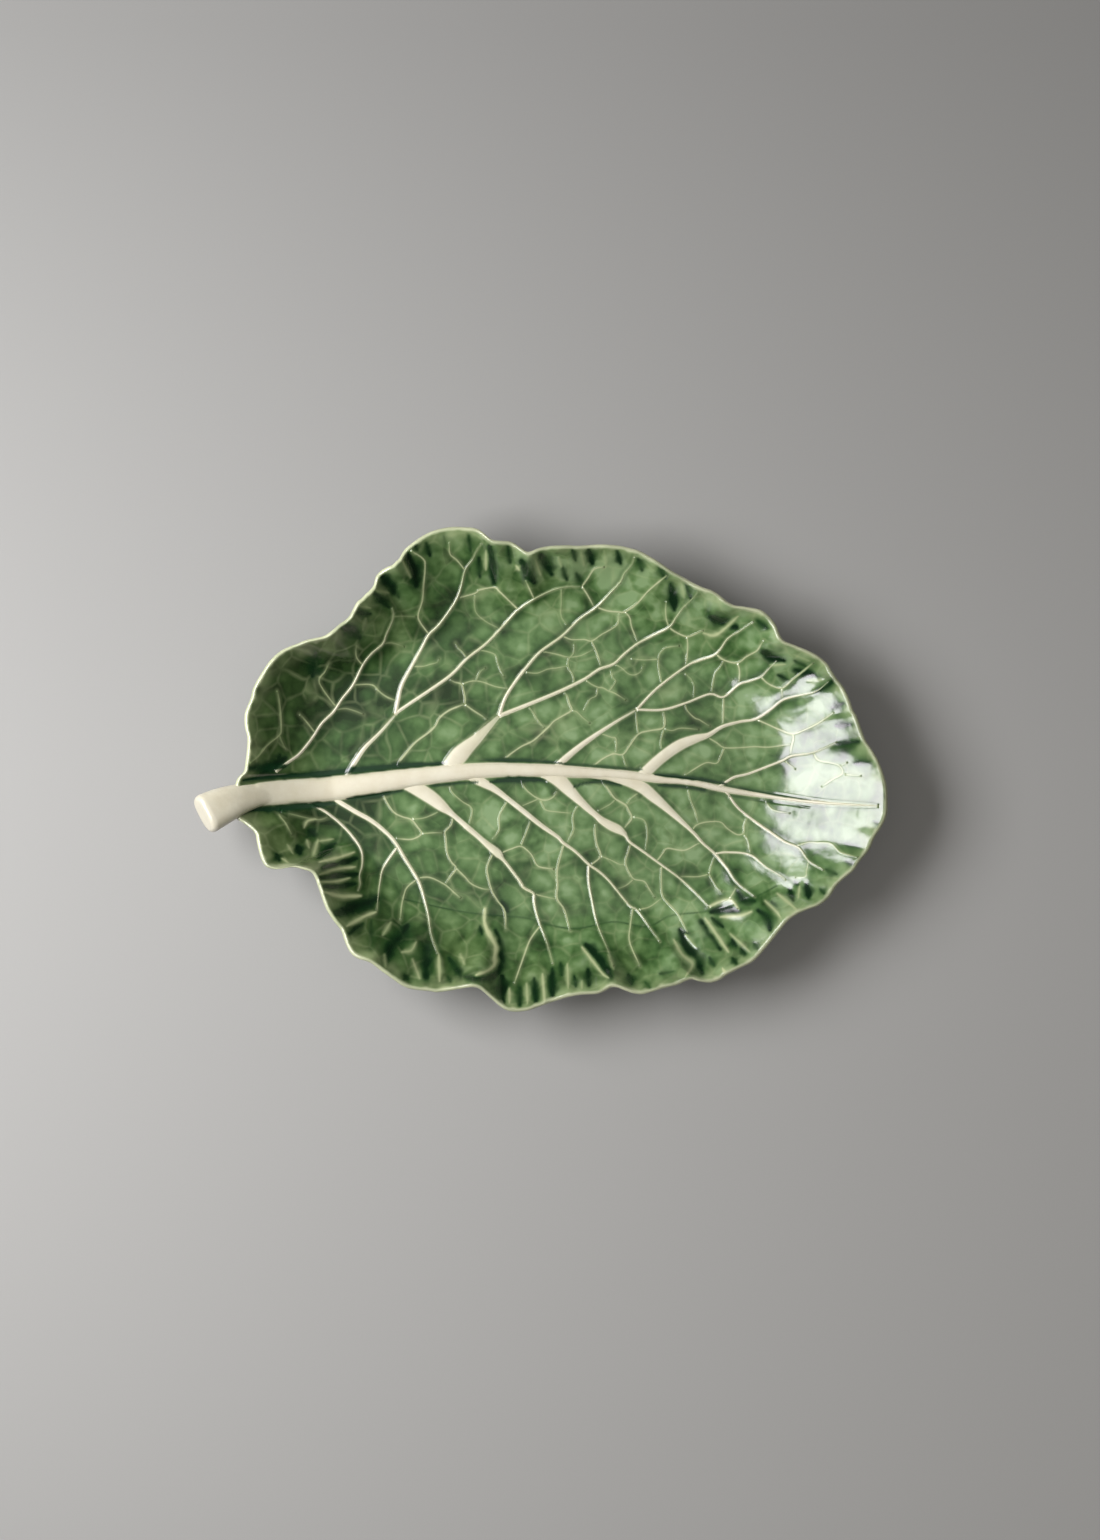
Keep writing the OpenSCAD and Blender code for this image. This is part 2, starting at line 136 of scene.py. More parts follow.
# The window's panes: name, degrees from straight up, distance, place to the back, length down the slope,
# length across it, power, whether it lights, whether it is mirrored
PANES = [
    ("window", 43.0, 0.95, 0.15, 0.50, 0.66, 12.0, True, False),
    ("window_mirrored", 46.0, 0.90, 0.03, 0.53, 0.88, 12.8, False, True),
]
WINDOW_COLOUR, ROOM_COLOUR = (1.0, 0.995, 0.99), (1.0, 0.95, 0.86)
# Light of the room by the direction's share upwards: the lowest and highest first, then those between
ROOM_UP = [(0.35, 0.02), (0.96, 0.36), (0.55, 0.06), (0.78, 0.17)]
# Painted fill light: the floor glows faintly, though it is no lamp, to lift its shadows: strength and colour
FLOOR_PAINTED_FILL, FLOOR_PAINTED_FILL_COLOUR = 0.046, (1.0, 0.98, 0.95)
# Half the floor's side in metres, and how fast its painted shade darkens it towards the back, per metre
FLOOR_HALF, FLOOR_SHADE_FALLOFF = 6.0, 1.4

# Edge of the leaf from above, clockwise from the stalk's upper side, in shares of its length and width
EDGE = [
    (-44.2, -2.2), (-43.3, -0.7), (-43.0, 0.4), (-42.7, 3.7), (-42.6, 6.6), (-42.9, 8.4), (-43.0, 10.1),
    (-42.9, 11.9), (-42.1, 14.8), (-41.8, 16.6), (-41.2, 18.3), (-40.3, 20.4), (-39.5, 22.1), (-38.6, 23.5),
    (-37.6, 24.6), (-36.6, 25.3), (-35.3, 26.0), (-34.1, 26.7), (-32.8, 27.1), (-31.6, 27.5), (-30.9, 28.0),
    (-30.0, 29.0), (-29.2, 30.0), (-28.4, 30.8), (-27.8, 31.6), (-27.4, 32.6), (-26.9, 34.0), (-26.5, 34.8),
    (-26.0, 35.3), (-25.4, 36.2), (-24.8, 37.0), (-24.3, 37.9), (-24.1, 38.9), (-23.9, 39.9), (-23.5, 40.6),
    (-23.0, 41.2), (-22.2, 41.8), (-21.5, 42.2), (-21.0, 42.9), (-20.5, 43.6), (-20.2, 44.4), (-19.9, 45.1),
    (-19.3, 46.0), (-17.9, 47.5), (-16.9, 48.4), (-15.9, 49.1), (-14.8, 49.6), (-13.4, 50.0), (-12.1, 50.1),
    (-10.7, 50.0), (-9.7, 49.9), (-8.8, 49.4), (-8.0, 48.5), (-7.3, 47.7), (-6.6, 47.3), (-5.5, 47.2),
    (-4.5, 47.1), (-3.7, 46.6), (-2.8, 45.7), (-2.0, 45.0), (-1.4, 45.0), (-0.6, 45.5), (0.3, 45.9),
    (1.7, 46.2), (3.8, 46.3), (5.2, 46.2), (6.5, 46.3), (8.5, 46.5), (10.1, 46.4), (11.6, 46.2),
    (12.8, 45.8),
    (13.9, 45.4), (14.9, 44.8), (15.9, 44.0), (17.0, 43.1), (18.0, 42.1), (19.0, 41.1), (20.0, 40.3),
    (21.3, 39.3), (22.4, 38.4), (23.6, 37.6), (25.0, 36.9), (26.1, 35.9), (27.1, 34.7), (28.2, 33.9),
    (29.2, 33.7), (30.6, 33.4), (31.9, 33.0), (32.9, 32.1), (33.7, 30.9), (34.3, 29.6), (34.6, 28.4),
    (35.0, 27.2), (35.6, 26.4), (36.9, 25.7), (38.1, 25.0), (39.1, 24.4), (40.2, 23.6), (41.2, 22.5),
    (41.9, 21.5), (42.4, 20.2), (43.1, 18.7), (44.0, 17.1), (44.5, 15.8), (45.0, 14.0), (45.4, 12.3),
    (45.9, 11.1), (46.2, 10.0), (47.2, 6.1), (47.9, 4.6), (49.0, 2.0), (49.8, -0.9), (50.3, -3.5),
    (50.4, -6.4), (50.3, -9.3), (49.5, -11.9), (48.5, -14.1), (47.7, -16.7), (46.4, -18.9), (45.5, -20.8),
    (44.0, -22.6), (43.0, -24.0), (42.0, -26.2), (40.5, -28.0), (39.0, -28.8), (37.5, -29.7), (36.1, -31.0),
    (34.8, -33.2), (33.0, -36.4), (31.0, -39.5), (29.0, -41.0), (27.0, -42.5), (26.0, -43.5), (24.5, -44.0),
    (23.0, -43.7), (22.0, -43.3), (21.0, -43.7), (20.0, -44.4), (18.0, -45.1), (16.0, -46.0), (14.8, -46.4),
    (13.5, -46.2), (12.3, -45.6), (11.2, -45.0), (10.3, -45.0), (9.5, -45.6), (8.3, -46.3), (6.0, -46.5),
    (4.0, -47.0), (2.0, -47.9), (-0.5, -49.1), (-2.0, -49.8), (-4.0, -50.0), (-5.5, -49.3), (-6.8, -47.8),
    (-7.8, -46.5), (-8.8, -45.3), (-9.8, -44.9), (-11.0, -45.1), (-13.0, -45.6), (-15.0, -46.0),
    (-16.0, -45.8), (-18.5, -45.4), (-20.0, -44.7), (-21.5, -43.2), (-23.0, -41.7), (-24.8, -39.8),
    (-26.5, -39.0), (-27.5, -38.0), (-28.3, -36.0), (-29.0, -33.3), (-30.0, -31.4), (-31.1, -28.9),
    (-31.8, -26.3), (-32.4, -23.8), (-33.1, -21.5), (-34.3, -20.7), (-36.1, -20.2), (-38.3, -20.6),
    (-39.7, -20.2), (-40.4, -19.0), (-40.9, -17.0), (-41.2, -15.1), (-41.5, -13.2), (-42.4, -11.9),
    (-43.5, -10.8), (-44.2, -10.0), (-44.7, -6.2),
]

# Rise of the rim in hundredths of its height, by place round the edge as in part.scad
RISES = [
    (-44.2, -10.0, 79), (-42.3, -12.0, 82), (-41.4, -14.2, 85), (-40.9, -17.4, 87), (-39.9, -20.2, 88),
    (-38.1, -20.7, 89), (-35.8, -20.3, 91), (-33.6, -21.2, 93), (-32.2, -24.8, 91), (-30.3, -30.9, 88),
    (-28.4, -35.8, 88), (-27.0, -38.5, 90), (-24.6, -40.1, 93), (-22.0, -42.7, 91), (-19.6, -44.9, 88),
    (-15.2, -46.0, 87), (-12.0, -45.3, 91), (-9.9, -44.9, 95), (-8.3, -45.9, 93), (-6.3, -48.5, 88),
    (-4.0, -50.1, 86), (-1.2, -49.3, 87), (3.6, -47.2, 90), (8.0, -46.2, 92), (10.8, -44.9, 94),
    (14.6, -46.4, 88), (18.0, -45.0, 90), (21.9, -43.3, 94), (24.4, -43.9, 90), (27.0, -42.4, 88),
    (31.1, -38.8, 89), (33.9, -34.2, 91), (36.3, -30.4, 95), (40.6, -27.7, 93), (43.2, -23.1, 90),
    (46.7, -18.4, 89), (49.3, -12.8, 88), (50.4, -6.5, 88), (49.7, -0.3, 90), (47.2, 6.2, 92),
    (45.4, 12.6, 91), (43.2, 18.7, 89), (41.1, 22.6, 90), (38.0, 25.1, 92), (35.4, 26.7, 95),
    (34.0, 30.4, 90), (31.6, 33.1, 89), (28.2, 33.9, 93), (25.5, 36.5, 91), (20.4, 40.0, 91),
    (16.4, 43.6, 89), (12.0, 46.1, 88), (6.0, 46.3, 90), (1.2, 46.1, 92), (-1.5, 45.0, 95),
    (-4.4, 47.1, 91),
    (-7.0, 47.5, 94), (-9.4, 49.7, 89), (-12.4, 50.0, 87), (-16.0, 49.0, 88), (-19.2, 46.2, 91),
    (-21.0, 42.9, 94), (-23.4, 40.8, 92), (-24.4, 37.7, 91), (-27.1, 32.8, 92), (-29.9, 29.3, 95),
    (-32.0, 27.4, 92), (-36.0, 25.6, 88), (-39.4, 22.3, 87), (-41.8, 16.6, 87), (-43.0, 10.2, 86),
    (-42.7, 3.7, 84), (-43.2, -0.6, 81), (-44.3, -2.4, 78),
]

# Middles of the ruffle's broad folds, as in part.scad
FOLDS = [
    (-33.0, -13.5), (-30.0, -21.5), (-26.5, -30.0), (-20.9, -36.5), (-16.5, -40.0), (-6.0, -41.5),
    (1.7, -43.5), (8.8, -40.0), (22.0, -38.0), (26.5, -30.5), (36.4, -26.0), (38.3, 20.0), (33.8, 23.8),
    (26.4, 30.4), (19.2, 36.0), (7.3, 43.2), (0.6, 42.0), (-7.0, 42.5), (-18.3, 41.5), (-22.1, 37.8),
    (-27.4, 28.0), (-33.0, 21.4),
]
FOLD_DEPTH, FOLD_LENGTH, FOLD_WIDTH = 1.5, 26.0, 11.0

# Pits where dark glaze has pooled, darker still with painted shade of a dimple the mesh keeps shallow: route
# in shares, half width in mm, depth in mm, darkness
PITS = [
    ([(-40.4, -0.9), (-38.7, 0.6), (-37.0, 2.4)], 2.3, 0.5, 1.0),
    ([(-33.0, 19.2), (-32.8, 21.3), (-32.5, 23.6)], 1.7, 0.9, 0.95),
    ([(-28.4, 29.3), (-27.2, 28.5), (-26.2, 27.3)], 1.7, 0.9, 0.95),
    ([(-26.6, 32.4), (-24.6, 32.0)], 1.4, 0.7, 0.75),
    ([(-23.9, 36.1), (-23.0, 34.8), (-22.0, 33.4)], 1.6, 1.0, 0.9),
    ([(-22.9, 39.8), (-21.9, 38.2), (-21.2, 36.4)], 2.0, 1.3, 1.0),
    ([(-21.0, 37.0), (-20.5, 35.4)], 1.3, 0.7, 0.6),
    ([(-19.2, 44.0), (-18.5, 41.5), (-18.0, 38.0)], 1.9, 1.2, 1.0),
    ([(-18.3, 46.4), (-17.8, 45.0)], 1.2, 0.7, 0.7),
    ([(-16.5, 46.4), (-16.0, 44.0)], 1.3, 0.8, 0.75),
    ([(-14.0, 48.0), (-13.7, 46.2)], 1.1, 0.5, 0.4),
    ([(-10.4, 48.0), (-10.1, 44.8)], 1.1, 0.7, 0.7),
    ([(-8.9, 43.4), (-8.8, 39.6)], 1.3, 0.8, 0.75),
    ([(-7.4, 45.6), (-7.0, 42.1), (-6.7, 38.4)], 1.6, 1.3, 1.0),
    ([(-4.7, 45.8), (-4.4, 42.6)], 1.2, 0.8, 0.7),
    ([(-2.8, 42.8), (-1.9, 40.6), (-1.0, 38.6)], 1.9, 1.3, 1.0),
    ([(0.1, 44.0), (0.8, 42.4), (1.6, 40.2)], 1.9, 1.3, 1.0),
    ([(3.2, 41.6), (3.8, 39.0)], 1.2, 0.8, 0.7),
    ([(4.6, 45.2), (5.1, 43.0)], 1.2, 0.8, 0.7),
    ([(7.0, 45.2), (7.5, 42.4)], 1.6, 1.2, 1.0),
    ([(5.2, 40.2), (6.0, 38.0)], 1.9, 0.7, 0.65),
    ([(11.1, 44.8), (11.6, 42.4)], 1.3, 0.9, 0.8),
    ([(14.1, 43.2), (14.7, 41.0)], 1.4, 0.9, 0.8),
    ([(17.2, 41.6), (18.0, 39.4)], 1.4, 0.9, 0.75),
    ([(18.8, 38.0), (19.2, 35.5), (19.4, 32.8)], 1.4, 1.2, 1.0),
    ([(21.1, 38.0), (21.8, 35.0)], 1.2, 0.9, 0.8),
    ([(24.6, 31.4), (26.3, 30.2), (28.3, 29.2)], 1.7, 1.2, 1.0),
    ([(31.4, 30.6), (32.8, 29.0)], 1.2, 0.8, 0.75),
    ([(32.2, 24.0), (33.5, 23.0), (35.2, 22.4)], 1.7, 1.3, 1.0),
    ([(34.4, 19.4), (35.7, 18.5)], 1.1, 0.8, 0.75),
    ([(36.8, 22.4), (38.4, 21.2)], 1.2, 0.9, 0.75),
    ([(36.9, 20.5), (38.3, 19.8), (40.0, 18.8)], 1.6, 1.2, 1.0),
    ([(39.8, 15.8), (41.4, 17.0), (42.4, 18.4)], 1.2, 0.9, 0.85),
    ([(42.2, 12.6), (43.8, 13.6)], 1.3, 0.8, 0.8),
    ([(42.8, 9.0), (44.8, 9.2)], 1.2, 0.8, 0.8),
    ([(43.0, 5.3), (46.0, 5.7)], 1.2, 0.8, 0.8),
    ([(45.4, 1.2), (47.6, 1.4)], 1.1, 0.7, 0.75),
    ([(48.2, -10.6), (49.2, -11.1)], 1.1, 0.6, 0.6),
    ([(44.0, -15.2), (46.2, -16.0)], 1.1, 0.6, 0.55),
    ([(44.3, -18.9), (45.6, -19.6)], 1.2, 0.7, 0.65),
    ([(41.3, -20.5), (42.8, -21.5)], 1.3, 0.8, 0.7),
    ([(40.5, -24.6), (41.1, -25.5)], 1.1, 0.7, 0.7),
    ([(38.5, -23.6), (38.8, -26.4)], 1.4, 1.2, 1.0),
    ([(36.1, -24.8), (36.5, -26.8)], 1.4, 1.0, 0.9),
    ([(36.8, -22.9), (37.3, -23.8)], 1.0, 0.7, 0.7),
    ([(33.4, -27.4), (34.1, -29.3)], 1.2, 0.9, 0.85),
    ([(31.5, -29.0), (33.0, -30.5), (33.2, -33.0)], 1.4, 0.9, 0.85),
    ([(28.5, -25.0), (29.3, -26.7), (31.0, -27.0)], 1.3, 0.3, 0.85),
    ([(24.7, -29.3), (26.6, -28.8), (28.7, -29.0)], 1.5, 0.4, 1.0),
    ([(24.8, -30.5), (26.4, -32.3)], 1.2, 0.9, 0.8),
    ([(23.2, -31.0), (25.0, -34.5), (26.0, -36.8)], 1.6, 1.0, 0.85),
    ([(20.2, -33.0), (21.0, -36.0), (22.5, -39.0), (23.3, -41.7)], 2.0, 0.9, 1.0),
    ([(24.5, -38.8), (25.1, -40.2)], 1.2, 0.8, 0.75),
    ([(27.8, -34.9), (28.3, -36.1)], 1.6, 0.9, 0.85),
    ([(29.1, -36.8), (29.6, -37.8)], 1.5, 0.9, 0.85),
    ([(27.8, -38.8), (28.3, -39.8)], 1.5, 0.9, 0.85),
    ([(30.9, -35.7), (31.5, -36.8)], 1.3, 0.7, 0.75),
    ([(17.3, -42.0), (19.3, -41.5)], 1.0, 0.5, 0.55),
    ([(15.2, -43.8), (15.8, -44.8)], 1.1, 0.6, 0.6),
    ([(12.7, -42.2), (13.1, -44.0)], 1.4, 0.9, 0.85),
    ([(6.6, -36.0), (8.0, -38.0), (9.2, -40.5), (10.0, -42.3)], 1.7, 1.3, 1.0),
    ([(6.9, -41.2), (7.0, -44.3)], 1.6, 0.9, 0.85),
    ([(4.9, -42.6), (5.1, -44.6)], 1.1, 0.8, 0.75),
    ([(2.9, -39.8), (3.1, -42.2)], 1.1, 0.8, 0.75),
    ([(1.7, -41.0), (1.7, -46.5)], 1.7, 1.2, 0.95),
    ([(-0.9, -43.0), (-0.7, -47.6)], 1.5, 1.0, 0.9),
    ([(-3.0, -45.0), (-3.0, -48.4)], 1.4, 0.9, 0.85),
    ([(-5.6, -42.6), (-5.4, -47.4)], 1.8, 1.3, 1.0),
    ([(-6.5, -33.0), (-6.0, -35.5), (-5.7, -38.0), (-5.8, -40.5), (-6.8, -42.4), (-9.0, -43.0),
      (-11.0, -42.6)], 1.6, 1.1, 0.85),
    ([(-8.7, -32.3), (-8.5, -33.8)], 1.2, 0.8, 0.7),
    ([(-5.6, -27.0), (-4.7, -29.2)], 1.3, 0.9, 0.8),
    ([(-13.2, -38.8), (-12.4, -40.6), (-11.5, -42.5)], 1.5, 1.0, 0.8),
    ([(-13.4, -42.6), (-13.0, -43.6)], 1.0, 0.6, 0.6),
    ([(-16.5, -36.6), (-16.5, -42.6)], 2.4, 1.3, 0.9),
    ([(-19.6, -42.4), (-19.2, -43.1)], 1.5, 0.8, 0.8),
    ([(-22.3, -39.5), (-21.5, -36.0), (-20.3, -34.5), (-19.3, -32.2)], 1.8, 1.2, 0.95),
    ([(-24.5, -31.2), (-24.5, -36.8)], 1.5, 0.7, 0.5),
    ([(-27.6, -33.6), (-26.7, -32.6), (-25.8, -31.6)], 1.6, 1.0, 0.85),
    ([(-29.5, -29.5), (-26.4, -28.2), (-23.7, -26.5)], 2.2, 1.4, 1.0),
    ([(-32.0, -17.8), (-29.7, -15.2)], 1.7, 1.2, 0.95),
    ([(-31.5, -20.3), (-29.2, -19.3), (-26.6, -18.3)], 1.4, 1.1, 0.95),
    ([(-32.0, -22.3), (-29.4, -21.8), (-26.6, -21.5)], 1.4, 1.1, 0.95),
    ([(-31.3, -24.0), (-29.0, -23.9), (-26.8, -23.5)], 1.2, 1.0, 0.9),
    ([(-33.4, -12.6), (-32.8, -13.4)], 2.0, 1.3, 1.0),
    ([(-35.2, -15.8), (-34.8, -17.2)], 1.8, 1.2, 0.95),
    ([(-38.2, -17.4), (-37.8, -18.6)], 1.5, 0.8, 0.75),
    ([(-37.9, 2.0), (-37.7, 3.0)], 1.9, 0.5, 0.9),
]

# Pale ridges where the glaze has run thin, their paleness partly a painted highlight: route in shares, half
# width in mm, height in mm, paleness
RIDGES = [
    ([(-20.0, 43.0), (-18.8, 39.5)], 0.9, 0.7, 0.65), ([(-23.7, 36.8), (-22.0, 36.3)], 0.8, 0.6, 0.6),
    ([(-26.0, 33.5), (-24.6, 33.2)], 0.8, 0.5, 0.55), ([(-25.3, 31.0), (-25.7, 28.7)], 0.8, 0.4, 0.4),
    ([(-7.9, 45.0), (-7.9, 41.0)], 0.9, 0.7, 0.65), ([(-3.5, 41.8), (-3.1, 41.0)], 1.2, 0.7, 0.75),
    ([(-0.7, 43.0), (0.0, 40.0)], 0.9, 0.7, 0.6), ([(2.6, 43.6), (3.0, 41.8)], 0.8, 0.6, 0.5),
    ([(5.9, 44.6), (6.3, 42.0)], 0.9, 0.6, 0.5), ([(9.2, 45.0), (9.5, 42.4)], 0.9, 0.5, 0.45),
    ([(28.6, 31.5), (25.5, 27.7), (23.6, 28.0)], 1.0, 0.7, 0.75),
    ([(20.4, 38.2), (20.8, 35.4)], 0.9, 0.5, 0.5),
    ([(35.4, 21.6), (33.4, 21.4)], 0.9, 0.6, 0.6), ([(38.9, 22.3), (36.6, 23.6)], 0.9, 0.5, 0.5),
    ([(40.8, 18.4), (38.6, 18.2)], 0.9, 0.5, 0.5),
    ([(-32.0, -19.0), (-29.0, -18.0), (-27.0, -17.0)], 0.9, 0.8, 0.8),
    ([(-32.0, -21.6), (-29.5, -20.5), (-26.8, -20.0)], 0.9, 0.8, 0.85),
    ([(-32.0, -23.1), (-29.6, -23.0), (-27.6, -22.3)], 0.8, 0.7, 0.8),
    ([(-31.6, -25.0), (-29.0, -26.0), (-26.0, -26.0)], 1.1, 0.9, 0.85),
    ([(-34.2, -12.0), (-33.7, -10.6), (-32.5, -10.2)], 0.8, 0.6, 0.7),
    ([(-33.8, -14.5), (-33.5, -16.0)], 0.9, 0.6, 0.6), ([(-32.2, -14.5), (-33.0, -18.0)], 0.9, 0.7, 0.65),
    ([(-32.0, -14.7), (-30.0, -14.3)], 0.8, 0.5, 0.6), ([(-37.4, -18.3), (-36.3, -19.3)], 0.7, 0.5, 0.7),
    ([(-36.6, -15.5), (-35.8, -17.3)], 0.7, 0.5, 0.6),
    ([(-28.0, -32.2), (-25.5, -30.2), (-23.8, -29.3)], 1.1, 0.9, 0.8),
    ([(-22.8, -34.0), (-21.7, -31.5)], 0.9, 0.6, 0.55), ([(-22.6, -38.0), (-22.4, -40.6)], 0.9, 0.6, 0.55),
    ([(-14.7, -38.0), (-14.6, -43.5)], 1.1, 0.8, 0.7), ([(-18.5, -39.0), (-17.5, -43.0)], 1.0, 0.7, 0.65),
    ([(-20.0, -37.5), (-18.7, -37.2), (-18.0, -35.5)], 0.9, 0.6, 0.6),
    ([(-8.0, -28.5), (-8.1, -31.0), (-7.7, -33.0), (-6.9, -35.0), (-6.4, -36.5), (-6.6, -38.5),
      (-6.6, -40.0),
      (-7.5, -41.3), (-9.3, -42.2)], 1.2, 1.2, 0.9),
    ([(-11.0, -40.0), (-11.6, -38.0)], 0.9, 0.6, 0.55), ([(-4.5, -45.0), (-4.5, -48.0)], 1.0, 0.7, 0.7),
    ([(0.3, -42.0), (0.6, -48.0)], 1.0, 0.7, 0.7), ([(3.9, -40.0), (4.0, -45.0)], 0.9, 0.6, 0.6),
    ([(6.0, -43.5), (6.0, -45.0)], 0.8, 0.5, 0.55),
    ([(6.0, -36.5), (7.6, -39.5), (9.0, -42.0), (9.8, -42.8)], 0.9, 0.8, 0.75),
    ([(9.8, -38.0), (10.6, -41.0)], 0.8, 0.5, 0.5), ([(-2.0, -44.0), (-1.9, -48.2)], 0.9, 0.6, 0.6),
    ([(19.3, -35.0), (20.5, -38.0), (22.0, -40.0), (21.0, -42.5)], 1.1, 0.9, 0.7),
    ([(21.0, -34.0), (22.5, -36.5)], 0.8, 0.5, 0.5),
    ([(23.8, -30.5), (25.5, -34.0), (27.2, -37.5)], 1.0, 0.5, 0.75),
    ([(26.0, -30.3), (29.0, -30.0), (30.5, -29.2)], 1.0, 0.25, 0.8),
    ([(24.4, -28.0), (27.3, -26.7), (28.7, -28.7)], 0.9, 0.25, 0.75),
    ([(34.3, -25.5), (36.0, -27.5), (37.0, -28.7)], 1.0, 0.8, 0.75),
    ([(32.5, -27.0), (34.0, -29.0), (34.8, -30.5)], 0.9, 0.7, 0.7),
    ([(27.5, -33.8), (30.3, -37.5)], 0.9, 0.4, 0.65), ([(26.3, -40.8), (26.9, -42.2)], 0.9, 0.6, 0.9),
    ([(37.5, -24.0), (37.3, -26.5)], 0.8, 0.6, 0.6),
]

# Low swellings beside veins, whose left side mirrors the window: route in shares, half width and height in mm
GLINTS = [
    ([(-26.8, 3.6), (-25.0, 6.0), (-22.8, 9.4), (-21.2, 12.0)], 0.8, 0.32),
    ([(-9.4, 7.2), (-7.4, 10.6), (-5.8, 14.8), (-3.6, 19.8)], 0.9, 0.34),
]

# Broad swellings and hollows of the wall on the right, which shape the window's reflection: place in shares,
# half length, half width and height in mm. They end at the rim over SWELLING_EDGE of the wall
SWELLING_EDGE = 0.25
SWELLINGS = [
    (36, 7, 10, 15, -1.2), (37, -9, 15, 10, 1.0), (44, 18, 34, 10, -1.0), (36, -24, 12, 10, -1.4),
    (48, -3, 35, 30, 0.6),
]

# Fine line where the foot shows through the floor, in shares
GROOVE = [
    (-20.0, -26.6), (-11.0, -29.3), (-2.2, -30.5), (0.0, -31.5), (5.0, -32.7), (10.6, -31.3), (15.4, -32.3),
    (19.0, -30.0), (24.5, -29.0), (31.3, -26.0), (34.2, -23.9),
]

# Darker and lighter parts of the leaf: place in shares, half length and half width in mm, lift of the tone
PATCHES = [
    (-38, 13, 18, 26, -0.26), (-31, 23, 20, 16, -0.38), (-28, 13, 14, 14, -0.58), (-16, 41, 14, 14, -0.22),
    (-35, 20, 12, 10, -0.24), (-36, 6, 12, 10, -0.18), (-28, 3, 16, 8, -0.18), (-20, 4, 14, 8, -0.18),
    (-14, 15, 16, 14, -0.58), (-20, 8, 14, 10, -0.24), (-14, 28, 14, 12, -0.44), (-22, 20, 12, 12, -0.22),
    (-7, 35, 12, 10, -0.14), (-1, 43, 20, 8, 0.46), (10, 42, 26, 10, 0.44), (15, 35, 26, 12, 0.22),
    (34, 27, 12, 12, 0.30), (28, 23, 14, 10, -0.10), (10, 12, 22, 14, 0.08), (0, 7, 8, 9, -0.40),
    (0, 21, 12, 10, -0.16), (0, 14, 12, 8, 0.20), (8, 7, 14, 9, 0.26), (-7, 7, 10, 8, 0.18),
    (22, 6, 16, 10, 0.42), (33, 1, 14, 10, 0.24), (0, 34, 26, 12, 0.04), (4, 28, 18, 8, -0.12),
    (15, 21, 10, 10, -0.24), (-7, 21, 12, 10, -0.12), (-21, -28, 12, 10, -0.10), (21, 20, 10, 12, 0.20),
    (7, 22, 8, 8, 0.10), (10, -7, 32, 10, 0.10), (-4, -14, 20, 12, 0.18), (21, -14, 16, 14, 0.22),
    (6, -29, 22, 12, 0.14), (-29, -7, 18, 12, -0.90), (-35, -14, 16, 18, -0.16), (-23, -14, 18, 12, -0.24),
    (-13, -24, 16, 14, -0.24), (-7, -29, 10, 12, -0.36), (-8, -38, 16, 14, -0.14),
    (-21, -34, 16, 14, -0.42), (0, -21, 12, 10, -0.20), (9, -38, 18, 12, -0.10), (21, -36, 12, 10, 0.26),
    (35, -25, 18, 14, 0.26), (36, 18, 14, 10, 0.20), (14, -7, 10, 8, -0.20), (-21, 28, 10, 10, 0.12),
    (-14, 21, 10, 8, 0.18), (-14, -7, 12, 8, 0.16), (-14, -15, 12, 10, 0.14), (0, -14, 10, 8, 0.14),
    (21, 35, 12, 10, 0.16), (0, 7, 7, 8, -0.22), (14, 7, 10, 8, -0.12),
]

# Dark glaze pooled along the midrib's two sides, with painted shade of the crease there: route in shares,
# half width in mm, darkness
STROKES = [
    ([(-43.0, -2.2), (-40.0, -1.6), (-37.0, -1.3), (-32.0, -0.9), (-28.0, -0.2), (-24.0, 0.3), (-20.0, 0.9),
      (-16.5, 1.1), (-14.0, 1.3)], 1.8, 0.95),
    ([(-43.0, 0.2), (-40.5, 0.4), (-37.0, 0.6)], 2.4, 0.8),
    ([(-9.0, 2.0), (-6.0, 2.0), (0.0, 1.7), (3.0, 1.3)], 0.9, 0.85),
    ([(3.0, 1.2), (8.0, 0.7), (12.0, 0.2), (15.0, -0.1)], 0.8, 0.7),
    ([(16.5, -1.0), (20.0, -1.5), (24.0, -2.2), (27.0, -3.0)], 1.0, 0.9),
    ([(27.0, -3.3), (33.0, -4.9), (39.0, -6.2)], 0.7, 0.7),
    ([(-43.0, -8.3), (-39.0, -8.1), (-35.0, -7.7), (-30.0, -7.0)], 1.8, 0.95),
    ([(-28.0, -6.0), (-24.0, -5.3), (-20.0, -4.4)], 1.1, 0.85),
    ([(-16.0, -3.4), (-12.0, -2.9), (-9.0, -2.6)], 0.9, 0.85),
    ([(-7.2, -2.5), (-4.0, -2.1), (-1.0, -2.1), (0.6, -2.3)], 1.5, 1.0),
    ([(4.9, -3.6), (6.6, -2.7), (9.2, -2.5), (11.6, -3.3)], 1.1, 0.85),
    ([(17.0, -3.2), (20.0, -3.5), (24.0, -4.3)], 1.0, 0.85),
    ([(27.0, -5.4), (33.0, -6.6), (39.0, -7.8)], 0.6, 0.55),
]

# Midrib: route in shares with its width in mm
MIDRIB = [
    (-43.6, -6.0, 11.6), (-41.5, -5.3, 10.9), (-37.9, -4.75, 11.3), (-33.4, -4.3, 11.6),
    (-28.8, -3.7, 11.5), (-24.3, -2.9, 10.6), (-19.8, -1.95, 9.2), (-13.9, -0.85, 8.2), (-7.4, -0.15, 7.0),
    (-2.2, -0.1, 6.1), (2.4, -0.3, 6.0), (6.5, -0.6, 5.0), (10.5, -0.9, 4.4), (14.6, -1.5, 4.0),
    (18.0, -2.1, 3.5), (21.8, -2.6, 3.0), (27.0, -4.2, 2.6), (33.0, -5.4, 2.2), (39.9, -6.7, 1.5),
    (45.0, -7.2, 1.2), (49.0, -7.5, 0.9),
]

